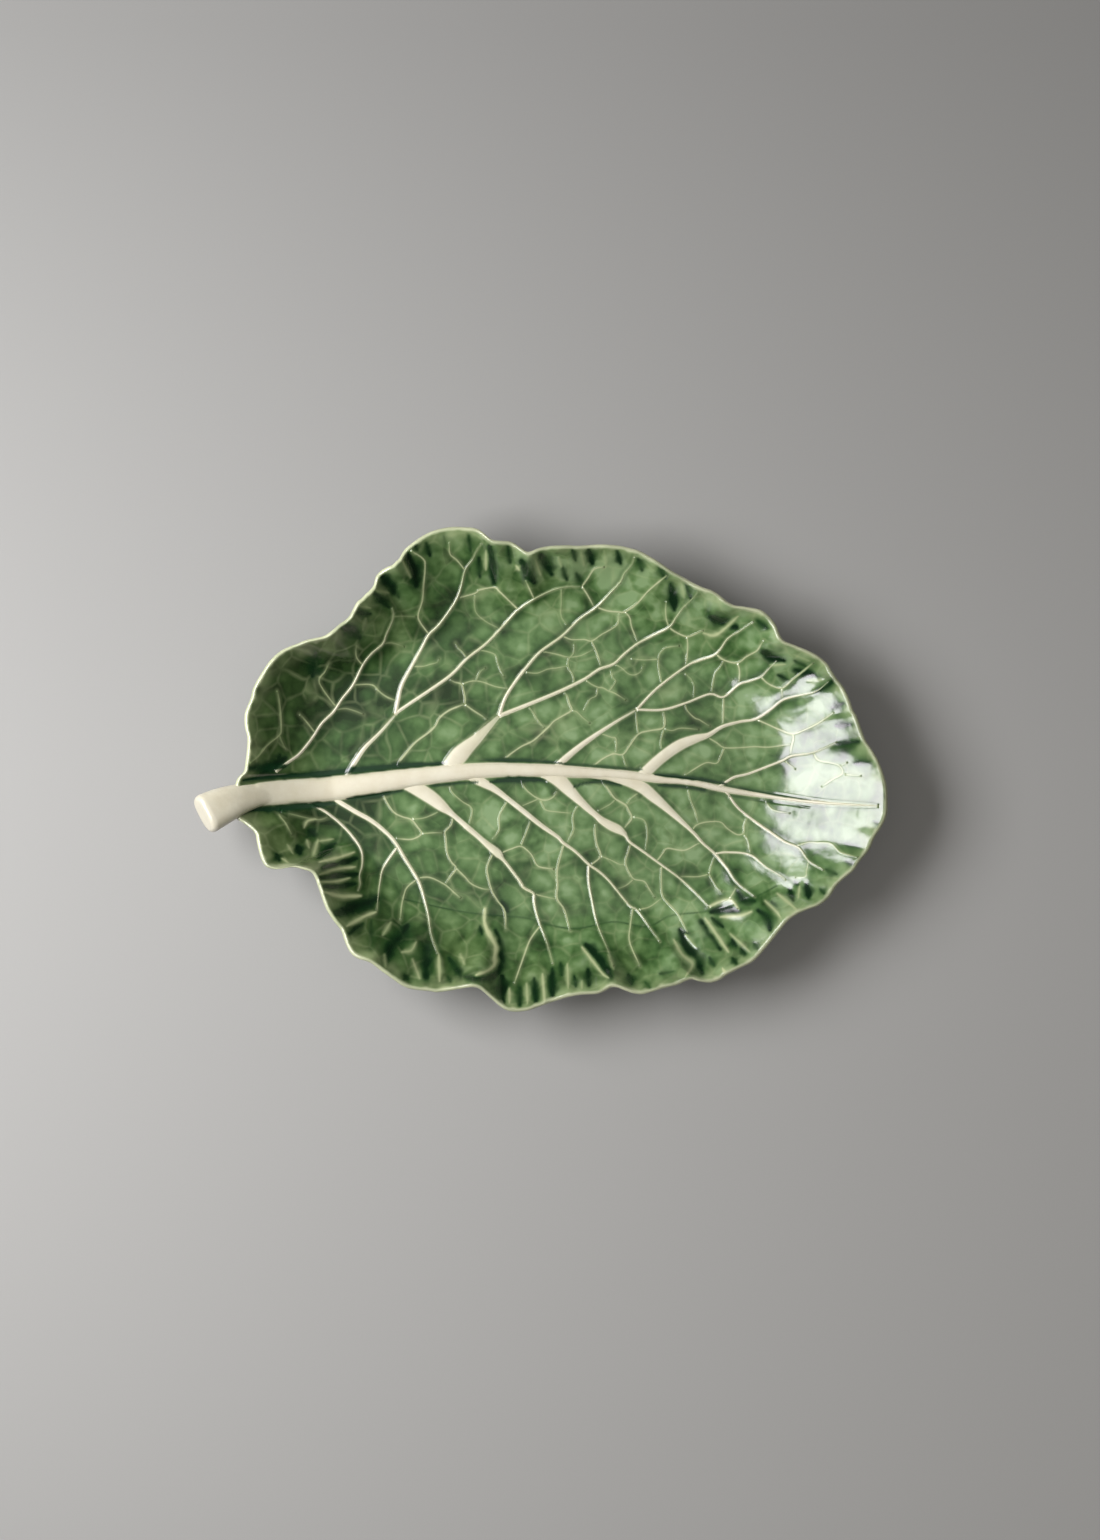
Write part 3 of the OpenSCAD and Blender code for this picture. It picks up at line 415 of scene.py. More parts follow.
# Side veins, by CAD node: each branch is a route in shares with its width in mm
SIDE_VEINS = {
    "side_vein_upper_1": [
        [(-38.3, -0.5, 1.9), (-36.8, 1.2, 1.9), (-35.1, 2.9, 1.8), (-33.9, 4.8, 1.8),
         (-32.8, 6.9, 1.7), (-31.6, 9.5, 1.7), (-29.9, 11.9, 1.7), (-28.7, 14.5, 1.6), (-27.1, 17.4, 1.6),
         (-25.7, 21.4, 1.5), (-24.4, 23.8, 1.5), (-22.8, 25.8, 1.5), (-22.3, 27.7, 1.4), (-21.3, 31.2, 1.3),
         (-21.5, 33.3, 1.1)],
    ],
    "side_vein_upper_2": [
        [(-28.3, -2.0, 3.0), (-27.5, -0.1, 2.9), (-26.8, 1.6, 2.8), (-25.4, 4.5, 2.6), (-23.1, 7.8, 2.4),
         (-21.0, 11.3, 2.2)],
        [(-21.0, 11.3, 2.2), (-20.6, 14.2, 2.2), (-20.0, 17.5, 2.1), (-18.3, 22.0, 1.9), (-17.1, 25.1, 1.8),
         (-16.1, 27.7, 1.8), (-14.8, 29.5, 1.7), (-13.4, 32.1, 1.5), (-12.1, 35.0, 1.5), (-11.5, 37.4, 1.4),
         (-10.9, 40.9, 1.3), (-9.9, 43.0, 1.2), (-9.2, 45.0, 1.1), (-8.5, 46.5, 1.0)],
        [(-21.0, 11.3, 1.9), (-19.9, 12.6, 2.0), (-13.4, 18.9, 2.0), (-10.6, 22.8, 1.8), (-7.6, 26.2, 1.7),
         (-4.1, 31.5, 1.6), (-3.2, 32.8, 1.5), (-1.0, 34.9, 1.4), (1.7, 36.8, 1.3), (3.8, 37.5, 1.2),
         (6.0, 37.6, 1.1)],
    ],
    "side_vein_upper_3": [
        [(-13.6, -0.4, 7.0), (-12.8, 1.0, 8.2), (-11.7, 3.0, 8.4), (-10.5, 4.7, 7.3), (-9.3, 6.2, 6.2),
         (-7.7, 8.5, 5.0), (-6.0, 11.0, 3.6)],
        [(-6.0, 11.0, 2.1), (-5.1, 14.7, 2.1), (-3.7, 17.9, 2.0), (-1.9, 21.2, 1.9), (0.0, 24.2, 1.8),
         (3.1, 27.4, 1.7), (5.6, 30.8, 1.6), (8.1, 33.3, 1.5), (9.9, 35.9, 1.4), (11.6, 38.6, 1.3),
         (12.1, 40.2, 1.2), (13.2, 42.1, 1.1), (13.6, 43.8, 1.0)],
        [(-6.0, 11.0, 2.6), (-1.9, 13.3, 2.4), (2.7, 16.0, 2.2), (6.4, 18.6, 2.0), (8.5, 20.6, 1.9),
         (10.6, 21.7, 1.8), (12.2, 23.8, 1.7), (14.1, 25.9, 1.6), (16.3, 27.5, 1.6), (18.6, 29.2, 1.5),
         (19.6, 31.2, 1.3), (20.7, 33.3, 1.2), (21.9, 35.0, 1.1), (22.9, 36.7, 1.0)],
    ],
    "side_vein_upper_4": [
        [(2.3, 0.4, 4.0), (3.4, 2.0, 3.7), (5.4, 4.4, 3.2), (7.4, 6.5, 2.8), (10.8, 9.7, 2.3),
         (13.9, 12.3, 1.9)],
        [(13.9, 12.3, 1.7), (16.9, 16.7, 1.7), (21.1, 21.2, 1.5), (23.0, 22.4, 1.5), (25.4, 23.7, 1.4),
         (27.1, 26.9, 1.3), (28.8, 28.4, 1.2), (30.0, 29.6, 1.1), (30.9, 30.4, 1.0)],
        [(13.9, 12.3, 1.6), (17.7, 12.3, 1.6), (21.1, 13.7, 1.5), (24.5, 15.5, 1.5), (26.5, 14.9, 1.4),
         (28.7, 17.4, 1.4), (30.2, 18.1, 1.3), (31.9, 19.0, 1.3), (32.9, 20.5, 1.2), (34.2, 22.4, 1.0)],
    ],
    "side_vein_upper_5": [
        [(13.9, -1.9, 4.0), (15.3, -0.4, 5.4), (17.4, 2.3, 5.4), (20.0, 4.9, 5.4), (22.4, 6.3, 4.4),
         (24.3, 7.1, 2.9), (26.3, 8.8, 2.2), (28.8, 9.8, 1.8), (31.2, 10.4, 1.6), (33.3, 12.3, 1.5),
         (35.0, 14.2, 1.4), (37.1, 15.1, 1.3), (39.8, 16.0, 1.2), (41.7, 18.1, 1.0)],
    ],
    "side_vein_upper_6": [
        [(25.4, -3.6, 1.6), (26.2, -3.2, 1.8), (28.0, -1.6, 1.7), (30.0, -0.9, 1.6), (33.0, 0.7, 1.5),
         (35.0, 1.8, 1.4), (36.4, 2.8, 1.4), (39.5, 3.5, 1.2), (42.9, 5.6, 1.0)],
    ],
    "side_vein_lower_1": [
        [(-35.4, -5.6, 1.7), (-34.0, -6.5, 1.8), (-33.1, -7.2, 1.7), (-31.1, -8.7, 1.6),
         (-28.8, -11.3, 1.6),
         (-27.0, -14.1, 1.6), (-25.9, -16.7, 1.5), (-25.8, -19.6, 1.4), (-26.2, -21.8, 1.3),
         (-26.1, -23.5, 1.2), (-26.4, -24.9, 1.0)],
    ],
    "side_vein_lower_2": [
        [(-31.0, -4.8, 2.4), (-29.5, -6.3, 2.7), (-27.0, -8.5, 2.7), (-24.5, -10.5, 2.6),
         (-22.3, -13.0, 2.3),
         (-20.9, -15.2, 2.1), (-19.5, -18.5, 1.9), (-17.8, -22.4, 1.8), (-17.2, -24.5, 1.6),
         (-16.7, -27.0, 1.5), (-16.2, -30.0, 1.4), (-15.8, -33.9, 1.2), (-14.8, -38.0, 1.0)],
        [(-20.7, -16.0, 1.4), (-22.2, -19.0, 1.4), (-22.9, -20.8, 1.3), (-23.2, -23.0, 1.2),
         (-23.5, -26.0, 1.1), (-23.7, -29.0, 1.0)],
    ],
    "side_vein_lower_3": [
        [(-19.9, -2.4, 6.6), (-18.1, -3.7, 7.0), (-15.8, -5.8, 6.6), (-14.2, -7.6, 5.2), (-12.6, -9.4, 3.0),
         (-10.5, -12.0, 3.1), (-9.0, -13.8, 3.0), (-7.8, -15.3, 3.4), (-6.6, -16.7, 4.2),
         (-6.0, -17.5, 4.0),
         (-5.5, -18.4, 2.4), (-5.0, -19.2, 2.0), (-3.0, -22.9, 1.9), (-2.4, -24.3, 1.8), (-1.0, -25.5, 1.7),
         (-0.9, -27.0, 1.6), (-0.6, -29.2, 1.5), (0.0, -32.0, 1.3), (0.9, -35.4, 1.1), (1.8, -40.0, 1.0)],
    ],
    "side_vein_lower_4": [
        [(-10.9, -0.8, 4.2), (-9.4, -1.8, 5.2), (-8.2, -2.8, 4.6), (-6.6, -4.1, 3.6), (-4.8, -6.0, 3.0),
         (-2.2, -8.9, 2.9),
         (0.0, -11.4, 2.7), (2.5, -13.9, 2.3), (3.3, -15.1, 2.0), (5.0, -16.8, 1.8), (7.0, -19.5, 1.7),
         (8.5, -21.0, 1.6), (10.0, -23.0, 1.5), (12.8, -27.8, 1.4), (14.0, -28.9, 1.3), (15.8, -32.4, 1.1),
         (17.3, -35.4, 1.0)],
        [(7.0, -19.6, 1.4), (7.0, -23.0, 1.4), (7.5, -27.0, 1.3), (8.3, -32.0, 1.2), (9.6, -36.5, 1.1),
         (10.6, -40.5, 1.0)],
    ],
    "side_vein_lower_5": [
        [(0.4, -0.3, 6.4), (2.4, -1.8, 7.2), (3.7, -3.6, 6.2), (5.3, -5.9, 4.6), (7.0, -8.2, 3.6),
         (8.0, -9.4, 3.3), (8.9, -10.5, 3.9), (10.2, -11.6, 4.6), (11.2, -12.3, 4.5), (12.1, -13.2, 3.0),
         (12.5, -14.0, 1.8), (13.0, -15.0, 1.7), (15.0, -17.0, 1.6), (17.5, -19.6, 1.5), (20.0, -22.2, 1.4),
         (22.2, -25.0, 1.3), (24.4, -28.3, 1.0)],
    ],
    "side_vein_lower_6": [
        [(6.5, -0.9, 3.6), (9.5, -1.5, 4.2), (12.4, -2.4, 4.8), (14.6, -3.6, 5.8), (16.2, -5.4, 5.4),
         (18.0, -7.6, 4.2), (20.1, -10.3, 3.0), (21.4, -12.0, 2.4), (22.4, -13.4, 2.1), (23.6, -15.3, 1.8),
         (25.3, -17.4, 1.7), (27.0, -20.3, 1.5), (28.4, -23.2, 1.4), (31.0, -26.2, 1.0)],
        [(25.3, -17.3, 1.3), (27.0, -17.0, 1.4), (30.3, -17.5, 1.3), (32.6, -20.0, 1.2), (34.9, -22.0, 1.1),
         (35.5, -22.8, 1.0)],
    ],
    "side_vein_lower_7": [
        [(26.6, -4.4, 1.4), (27.2, -5.2, 1.6), (28.4, -7.6, 1.6), (30.1, -9.7, 1.5), (32.8, -12.4, 1.5),
         (35.3, -14.8, 1.4), (37.4, -16.1, 1.3), (38.8, -18.8, 1.2), (41.0, -20.7, 1.0)],
    ],
}

# The net of small veins above and below the midrib: route in shares, width in mm, paleness
NET_UPPER = [
    ([(-42.1, 1.3), (-40.9, 2.6), (-39.5, 5.0), (-37.8, 7.0), (-37.5, 8.4), (-37.6, 11.3), (-37.8, 14.2),
      (-38.1, 16.3)], 1.1, 0.45),
    ([(-37.8, 7.0), (-37.3, 5.4), (-36.8, 4.0)], 0.9, 0.35),
    ([(-25.7, 21.4), (-26.6, 23.0), (-26.7, 24.8), (-26.5, 25.7)], 1.0, 0.55),
    ([(-29.3, 12.9), (-30.0, 13.6), (-32.0, 17.9), (-31.2, 20.1), (-30.6, 21.8)], 1.0, 0.5),
    ([(-32.4, 7.4), (-32.8, 7.9), (-33.9, 9.9), (-34.9, 11.4)], 1.0, 0.5),
    ([(-29.5, 12.3), (-28.1, 12.5), (-26.6, 11.9), (-25.6, 11.3)], 0.9, 0.4),
    ([(-27.1, 17.4), (-26.6, 17.4), (-24.4, 17.4), (-23.3, 16.0), (-22.1, 14.8), (-20.5, 14.0)], 1.0, 0.5),
    ([(-22.8, 25.8), (-21.5, 26.0), (-19.6, 25.2)], 0.8, 0.3),
    ([(-21.4, 31.4), (-19.9, 31.5), (-17.9, 31.4)], 0.8, 0.3),
    ([(-16.1, 27.7), (-17.4, 30.2), (-17.7, 31.8), (-17.1, 34.7), (-16.9, 38.0), (-16.7, 41.8),
      (-17.0, 43.3),
      (-18.8, 45.0)], 1.1, 0.6),
    ([(-10.9, 40.9), (-12.1, 43.0), (-13.1, 44.3), (-13.2, 46.8)], 1.0, 0.55),
    ([(-18.5, 21.4), (-18.3, 21.2), (-17.0, 21.2), (-16.0, 21.6), (-15.0, 22.0), (-14.6, 22.8)], 0.9, 0.45),
    ([(-23.9, 16.8), (-23.2, 15.8), (-22.4, 15.0)], 0.8, 0.35),
    ([(6.0, 37.6), (6.9, 39.4), (7.8, 41.2), (9.3, 41.6)], 1.1, 0.65),
    ([(6.0, 37.6), (6.9, 35.6), (7.8, 33.2)], 1.1, 0.65),
    ([(-3.2, 32.8), (-4.5, 34.6), (-5.9, 36.5), (-6.7, 37.4), (-8.8, 36.9), (-9.5, 36.2),
      (-12.0, 35.2)], 1.1, 0.65),
    ([(-0.9, 35.0), (-1.6, 37.1), (-2.2, 38.9)], 1.0, 0.6),
    ([(-9.5, 36.0), (-9.4, 32.5), (-8.0, 30.5), (-6.0, 29.0)], 0.9, 0.4),
    ([(3.0, 37.2), (3.0, 34.2), (3.0, 31.5), (3.9, 29.5)], 0.9, 0.4),
    ([(-10.6, 22.8), (-11.2, 24.0), (-11.9, 25.0), (-12.3, 26.0)], 0.9, 0.45),
    ([(-9.0, 24.6), (-7.6, 24.2), (-6.5, 23.5), (-6.2, 22.0), (-5.8, 20.5), (-5.2, 19.0)], 0.9, 0.45),
    ([(-20.6, 0.6), (-20.3, 1.8), (-19.2, 3.8), (-18.0, 5.7), (-16.3, 7.5), (-15.2, 9.0), (-14.6, 10.6),
      (-13.4, 12.0), (-12.0, 12.9), (-10.95, 13.4)], 1.3, 0.65),
    ([(-10.95, 13.4), (-10.9, 14.5), (-11.1, 16.0), (-11.4, 17.5), (-12.5, 18.0),
      (-13.2, 18.6)], 1.1, 0.55),
    ([(-10.95, 13.4), (-9.8, 12.2), (-8.7, 11.2), (-7.7, 10.2)], 1.1, 0.55),
    ([(-11.4, 17.5), (-10.2, 18.1), (-9.3, 18.2), (-8.2, 17.9), (-6.4, 17.0), (-4.4, 16.6)], 1.0, 0.5),
    ([(-9.3, 18.2), (-9.0, 19.4), (-8.5, 20.4), (-7.9, 20.9)], 0.9, 0.45),
    ([(8.2, 33.3), (9.7, 32.6), (11.2, 32.4), (12.2, 32.4), (13.9, 34.0), (14.9, 35.6), (15.6, 36.7),
      (16.9, 38.3),
      (18.4, 40.0)], 1.1, 0.65),
    ([(12.2, 32.4), (12.9, 31.2), (13.2, 29.2), (14.1, 26.1)], 1.0, 0.6),
    ([(3.2, 27.4), (4.5, 26.7), (6.4, 26.7), (7.4, 26.4), (8.9, 27.8), (10.3, 28.9), (11.2, 30.0),
      (11.4, 32.2)],
     1.0, 0.55),
    ([(7.4, 26.4), (8.1, 24.2), (8.8, 21.1)], 1.0, 0.6),
    ([(-2.2, 20.0), (-0.5, 19.8), (1.0, 20.6), (2.5, 20.9), (4.2, 21.4)], 0.9, 0.45),
    ([(0.0, 24.2), (0.9, 24.1), (2.6, 23.6), (4.1, 23.1), (5.8, 23.4), (7.0, 24.2),
      (7.9, 24.8)], 0.9, 0.45),
    ([(4.8, 17.6), (4.8, 18.9), (4.5, 19.9), (4.0, 21.2), (4.1, 22.7), (4.8, 24.0),
      (4.9, 26.0)], 0.9, 0.45),
    ([(18.6, 29.2), (18.2, 30.9), (18.1, 33.0), (18.2, 34.7)], 1.0, 0.55),
    ([(18.6, 29.2), (19.6, 28.2), (21.2, 27.3), (22.5, 27.9), (23.6, 28.6)], 1.1, 0.65),
    ([(21.2, 27.3), (21.3, 25.1), (21.1, 21.3)], 1.0, 0.6),
    ([(10.8, 21.6), (11.8, 20.8), (12.8, 19.6), (13.8, 19.5), (14.6, 20.3), (14.9, 21.5)], 0.9, 0.45),
    ([(6.5, 18.4), (7.4, 17.5), (8.3, 16.9), (9.0, 16.8), (9.9, 16.1), (10.7, 15.7),
      (12.4, 14.2)], 1.0, 0.5),
    ([(9.9, 16.1), (10.4, 17.0), (10.9, 18.2), (10.5, 18.8), (10.2, 20.6)], 0.9, 0.45),
    ([(8.3, 16.9), (8.1, 15.2), (7.2, 14.5), (6.7, 13.2), (6.2, 12.0)], 0.9, 0.45),
    ([(-1.9, 13.2), (-1.6, 12.7), (-1.0, 11.5), (-0.3, 10.0), (0.6, 8.4)], 0.9, 0.45),
    ([(-5.0, 2.2), (-4.5, 3.0), (-2.8, 4.7), (-1.2, 5.8), (0.0, 7.2), (1.2, 8.8), (2.0, 10.0), (3.2, 11.0),
      (4.5, 12.2), (4.2, 13.5), (3.9, 15.0), (3.4, 15.9)], 1.2, 0.6),
    ([(4.5, 12.2), (5.3, 11.8), (6.0, 10.8), (7.2, 9.4)], 0.9, 0.45),
    ([(25.4, 23.7), (26.5, 22.5), (28.5, 21.9), (29.8, 23.2), (31.3, 24.4), (31.9, 25.7),
      (32.3, 26.6)], 1.1, 0.65),
    ([(28.5, 21.9), (28.8, 20.2), (28.7, 17.4)], 1.1, 0.65),
    ([(17.6, 17.6), (17.3, 19.5), (17.1, 21.5), (17.2, 23.5), (17.9, 24.8), (18.8, 25.2),
      (20.2, 25.4)], 0.9, 0.5),
    ([(17.2, 22.7), (15.0, 22.5), (13.0, 22.8)], 0.9, 0.45),
    ([(26.5, 22.3), (26.0, 21.0), (25.3, 19.8), (25.0, 18.0), (24.8, 16.0), (24.7, 15.4)], 0.9, 0.5),
    ([(20.9, 19.8), (21.8, 18.5), (22.3, 17.0), (22.2, 15.5), (22.3, 14.4)], 0.8, 0.35),
    ([(31.9, 19.0), (33.0, 17.6), (34.9, 16.7), (36.5, 18.5), (38.0, 20.2), (39.5, 22.0)], 1.1, 0.65),
    ([(34.9, 16.7), (35.0, 14.4)], 1.0, 0.6), ([(26.5, 14.9), (26.5, 12.8), (26.4, 8.9)], 1.0, 0.6),
    ([(20.9, 13.5), (21.3, 12.0), (22.3, 10.6), (23.0, 10.2), (24.6, 8.8)], 0.9, 0.5),
    ([(8.4, 7.6), (9.1, 7.2), (10.3, 6.6), (10.9, 6.4), (11.0, 4.0), (10.7, 3.1)], 0.9, 0.5),
    ([(7.2, 0.4), (7.8, 0.9), (9.0, 2.2), (10.5, 3.2), (11.9, 3.1), (12.9, 4.9), (14.2, 7.3), (15.9, 8.0),
      (17.7, 8.5), (18.0, 10.0), (17.8, 12.0)], 1.2, 0.6),
    ([(11.9, 3.1), (12.2, 1.6), (12.6, 0.0)], 0.9, 0.5),
    ([(17.9, 8.4), (19.0, 8.0), (20.4, 8.5), (23.0, 8.2)], 0.9, 0.45),
    ([(17.9, 8.4), (17.6, 6.8), (17.4, 5.5), (17.6, 4.0), (17.8, 3.2)], 0.9, 0.5),
    ([(14.2, 7.3), (14.0, 9.0), (13.9, 11.0), (13.9, 12.3)], 0.9, 0.5),
    ([(31.4, 10.2), (33.3, 9.0), (34.6, 8.2), (36.5, 7.3), (38.5, 8.3), (40.5, 9.8),
      (42.5, 11.8)], 1.1, 0.65),
    ([(36.5, 7.3), (36.6, 6.3), (36.3, 4.5), (36.2, 2.9)], 1.1, 0.65),
    ([(24.2, 6.6), (25.5, 5.5), (26.6, 4.5), (29.0, 4.5), (31.0, 4.7), (33.0, 4.6),
      (36.4, 5.2)], 1.0, 0.55),
    ([(26.6, 4.4), (26.2, 3.0), (25.5, 1.3), (24.0, 1.4), (22.5, 0.3), (20.8, -1.3)], 1.0, 0.55),
    ([(35.4, 1.7), (36.2, 0.8), (37.0, 0.0)], 0.9, 0.5),
    ([(39.5, 3.4), (40.2, 1.9), (42.2, 1.3), (43.3, 0.7), (43.7, -0.8), (42.3, -2.0),
      (40.6, -3.6)], 1.0, 0.55),
    ([(43.3, 0.7), (44.5, 1.5)], 0.9, 0.5), ([(44.0, -1.0), (45.3, -1.2), (46.5, -1.3)], 0.9, 0.5),
]
NET_LOWER = [
    ([(-37.7, -7.6), (-37.8, -9.3), (-36.9, -11.0), (-35.9, -13.6)], 1.0, 0.5),
    ([(-37.6, -8.5), (-34.5, -9.7), (-32.0, -10.3), (-30.6, -9.6)], 0.8, 0.35),
    ([(-17.9, -22.6), (-19.3, -24.2), (-19.8, -26.0), (-20.1, -28.0), (-20.3, -31.0)], 1.0, 0.55),
    ([(-17.8, -22.3), (-16.0, -22.2), (-13.8, -23.7), (-12.5, -25.3), (-11.5, -26.5)], 1.0, 0.55),
    ([(-22.9, -4.6), (-22.7, -5.2), (-22.2, -6.8), (-21.2, -8.8), (-20.0, -9.7), (-18.7, -10.3),
      (-17.8, -11.8),
      (-17.2, -13.2), (-18.5, -14.3), (-20.0, -14.3), (-21.0, -14.1)], 1.1, 0.6),
    ([(-17.2, -13.2), (-15.5, -13.0), (-14.0, -13.0)], 1.0, 0.5),
    ([(-18.6, -10.2), (-17.0, -10.0), (-15.5, -9.2), (-14.2, -8.2)], 0.9, 0.45),
    ([(0.0, -32.0), (-1.5, -35.0), (-2.5, -38.7), (-3.8, -44.0)], 1.1, 0.6),
    ([(-12.7, -9.6), (-12.9, -11.3), (-13.8, -12.8), (-13.7, -14.0), (-13.5, -17.0), (-12.9, -19.0),
      (-12.2, -20.3),
      (-13.0, -22.0), (-13.8, -23.7)], 1.1, 0.6),
    ([(-12.2, -20.3), (-11.0, -22.0), (-10.0, -23.5), (-8.4, -24.5), (-7.1, -24.6)], 1.0, 0.55),
    ([(-13.1, -3.0), (-13.0, -4.0), (-12.6, -5.0), (-11.3, -6.6), (-10.1, -7.7), (-9.9, -9.0),
      (-10.4, -11.8)], 1.0, 0.5),
    ([(-6.8, -17.0), (-7.7, -20.0), (-7.5, -22.5), (-7.0, -25.0), (-6.2, -27.0), (-5.2, -29.1),
      (-5.0, -33.0)], 1.1, 0.6),
    ([(-5.8, -17.2), (-4.2, -16.3), (-2.8, -15.8), (-1.5, -17.2), (-1.0, -18.3), (-0.3, -19.9),
      (2.0, -20.5)], 1.0, 0.6),
    ([(-2.8, -15.6), (-1.9, -12.4), (-1.3, -9.9)], 1.0, 0.55),
    ([(-1.0, -25.5), (0.2, -26.0), (2.4, -26.7)], 1.0, 0.5),
    ([(-4.7, -6.3), (-5.6, -8.5), (-6.0, -10.0), (-6.0, -12.5), (-7.0, -14.4)], 1.0, 0.55),
    ([(3.4, -15.2), (3.0, -17.3), (2.5, -20.0), (2.4, -22.0), (2.5, -24.0), (2.4, -26.5), (3.5, -29.0),
      (4.3, -33.2)],
     1.1, 0.6),
    ([(7.3, -19.6), (8.7, -17.8), (8.2, -15.5), (7.9, -13.0), (8.0, -11.0)], 1.1, 0.6),
    ([(8.7, -17.8), (10.0, -18.5), (11.5, -19.5), (12.4, -19.4)], 0.9, 0.5),
    ([(13.4, -28.3), (13.0, -32.0), (12.9, -35.4), (14.4, -40.5)], 1.1, 0.55),
    ([(14.2, -28.8), (15.8, -28.2), (17.2, -26.8), (17.8, -26.2)], 0.9, 0.5),
    ([(-2.9, -1.2), (-2.7, -1.8), (-2.4, -3.5), (-1.5, -4.9), (-0.3, -6.0), (0.8, -6.3), (1.8, -5.7),
      (2.5, -4.3)],
     1.1, 0.55),
    ([(-0.2, -6.0), (-1.7, -6.9), (-3.2, -7.8)], 0.9, 0.5),
    ([(0.0, -6.3), (0.4, -7.5), (0.9, -8.4), (3.0, -8.8), (4.7, -9.0)], 0.9, 0.5),
    ([(6.2, -6.8), (5.8, -7.0), (5.0, -8.4), (4.7, -10.0), (4.8, -12.4), (4.0, -15.0)], 1.0, 0.5),
    ([(24.4, -28.3), (27.3, -26.6), (28.6, -28.7)], 1.0, 0.6),
    ([(27.3, -26.6), (28.0, -25.0), (28.3, -24.1)], 1.0, 0.6),
    ([(17.5, -20.0), (17.5, -23.5), (17.8, -26.3), (19.8, -29.5), (21.3, -33.5)], 1.1, 0.55),
    ([(13.0, -15.5), (12.7, -17.0), (12.3, -19.0), (12.8, -21.0), (13.5, -22.5), (15.0, -23.0),
      (15.7, -24.5),
      (16.6, -26.4)], 1.0, 0.55),
    ([(13.5, -22.5), (12.4, -23.8), (11.0, -24.6)], 0.9, 0.45),
    ([(16.6, -18.7), (17.0, -18.5), (17.8, -17.0), (18.4, -16.2), (20.8, -16.6), (22.7, -15.3),
      (23.4, -15.0)], 1.1, 0.6),
    ([(8.9, -2.0), (9.2, -2.8), (10.0, -4.5), (10.8, -6.0), (12.3, -7.3), (12.8, -8.5), (13.2, -10.0),
      (12.3, -11.7),
      (11.9, -12.6)], 1.2, 0.6),
    ([(10.8, -6.2), (10.0, -7.2), (8.2, -8.6)], 0.9, 0.45),
    ([(12.5, -7.1), (13.2, -5.8), (14.8, -4.2)], 0.9, 0.45),
    ([(13.4, -9.7), (15.0, -10.5), (15.5, -13.0), (15.2, -16.8)], 0.9, 0.45),
    ([(22.0, -12.4), (22.6, -11.4), (24.0, -10.8), (26.0, -10.8), (27.1, -12.2), (28.5, -13.4),
      (29.4, -13.0),
      (29.5, -11.5), (29.9, -9.8)], 1.1, 0.55),
    ([(29.4, -13.3), (30.0, -14.5), (30.4, -17.3)], 0.9, 0.5),
    ([(24.4, -21.5), (22.8, -22.0), (21.0, -22.0), (20.0, -22.0)], 0.9, 0.5),
    ([(24.4, -21.5), (24.7, -19.8), (25.3, -17.6)], 0.9, 0.5),
    ([(24.4, -21.5), (25.5, -24.2), (26.3, -25.0)], 0.9, 0.5),
    ([(37.0, -15.7), (38.6, -15.0), (40.0, -15.0), (42.0, -15.2), (43.4, -17.0), (46.0, -18.0)], 1.0, 0.55),
    ([(38.8, -18.8), (38.5, -20.8), (38.3, -22.0), (36.8, -22.2)], 0.9, 0.5),
    ([(32.0, -5.3), (32.6, -6.3), (33.0, -7.5), (34.0, -8.5), (36.2, -9.0)], 0.9, 0.5),
    ([(21.3, -3.0), (21.5, -5.0), (21.8, -6.5), (22.4, -8.6), (22.9, -11.2)], 0.9, 0.5),
]


# The leaf's form, in millimetres
def in_plan(rows):
    """Shares of the length and width turned into millimetres. Further columns stay."""
    out = np.array(rows, float)
    out[:, 0] *= PLATE_LENGTH / LENGTH_SHARES
    out[:, 1] *= PLATE_WIDTH / WIDTH_SHARES
    return out


def smooth(rows, step, closed=False):
    """Smooth curve through the rows with a point about every step."""
    rows = np.asarray(rows, float)
    count = len(rows)
    pieces = []
    for i in range(count if closed else count - 1):
        b, c = rows[i], rows[(i + 1) % count]
        a = rows[i - 1] if closed or i else 2 * b - c
        d = rows[(i + 2) % count] if closed or i < count - 2 else 2 * c - b
        steps = max(1, int(math.ceil(math.hypot(*(c - b)[:2]) / step)))
        t = (np.arange(steps) / steps)[:, None]
        pieces.append((2 * b + (c - a) * t + (2 * a - 5 * b + 4 * c - d) * t ** 2
                       + (3 * b - a - 3 * c + d) * t ** 3) / 2)
    if not closed:
        pieces.append(rows[-1:])
    return np.concatenate(pieces)


def along(line):
    """Way gone along a line at each of its points, from 0 to 1."""
    gone = np.concatenate([[0], np.cumsum(np.hypot(*np.diff(line[:, :2], axis=0).T))])
    return gone / gone[-1]


def heading(points):
    return np.degrees(np.arctan2(points[:, 1], points[:, 0])) % 360


def by_heading(line):
    order = np.argsort(heading(line))
    return heading(line)[order], line[order]


EDGE_HEADING, EDGE_LINE = by_heading(smooth(in_plan(EDGE), EDGE_STEP, closed=True))
EDGE_REACH = np.hypot(EDGE_LINE[:, 0], EDGE_LINE[:, 1])
EDGE_ROUTE = np.concatenate([smooth(in_plan(EDGE), MARK_STEP, closed=True), in_plan(EDGE[:1])])
RISE_HEADING, RISE_LINE = by_heading(smooth(in_plan(RISES), MARK_STEP, closed=True))
RISE = RISE_LINE[:, 2] / 100


def crest_reach(turn):
    return np.interp(turn, EDGE_HEADING, EDGE_REACH, period=360) - RIM_ROUND - EDGE_INSET


def crest_height(turn):
    return RIM_HEIGHT * np.interp(turn, RISE_HEADING, RISE, period=360)


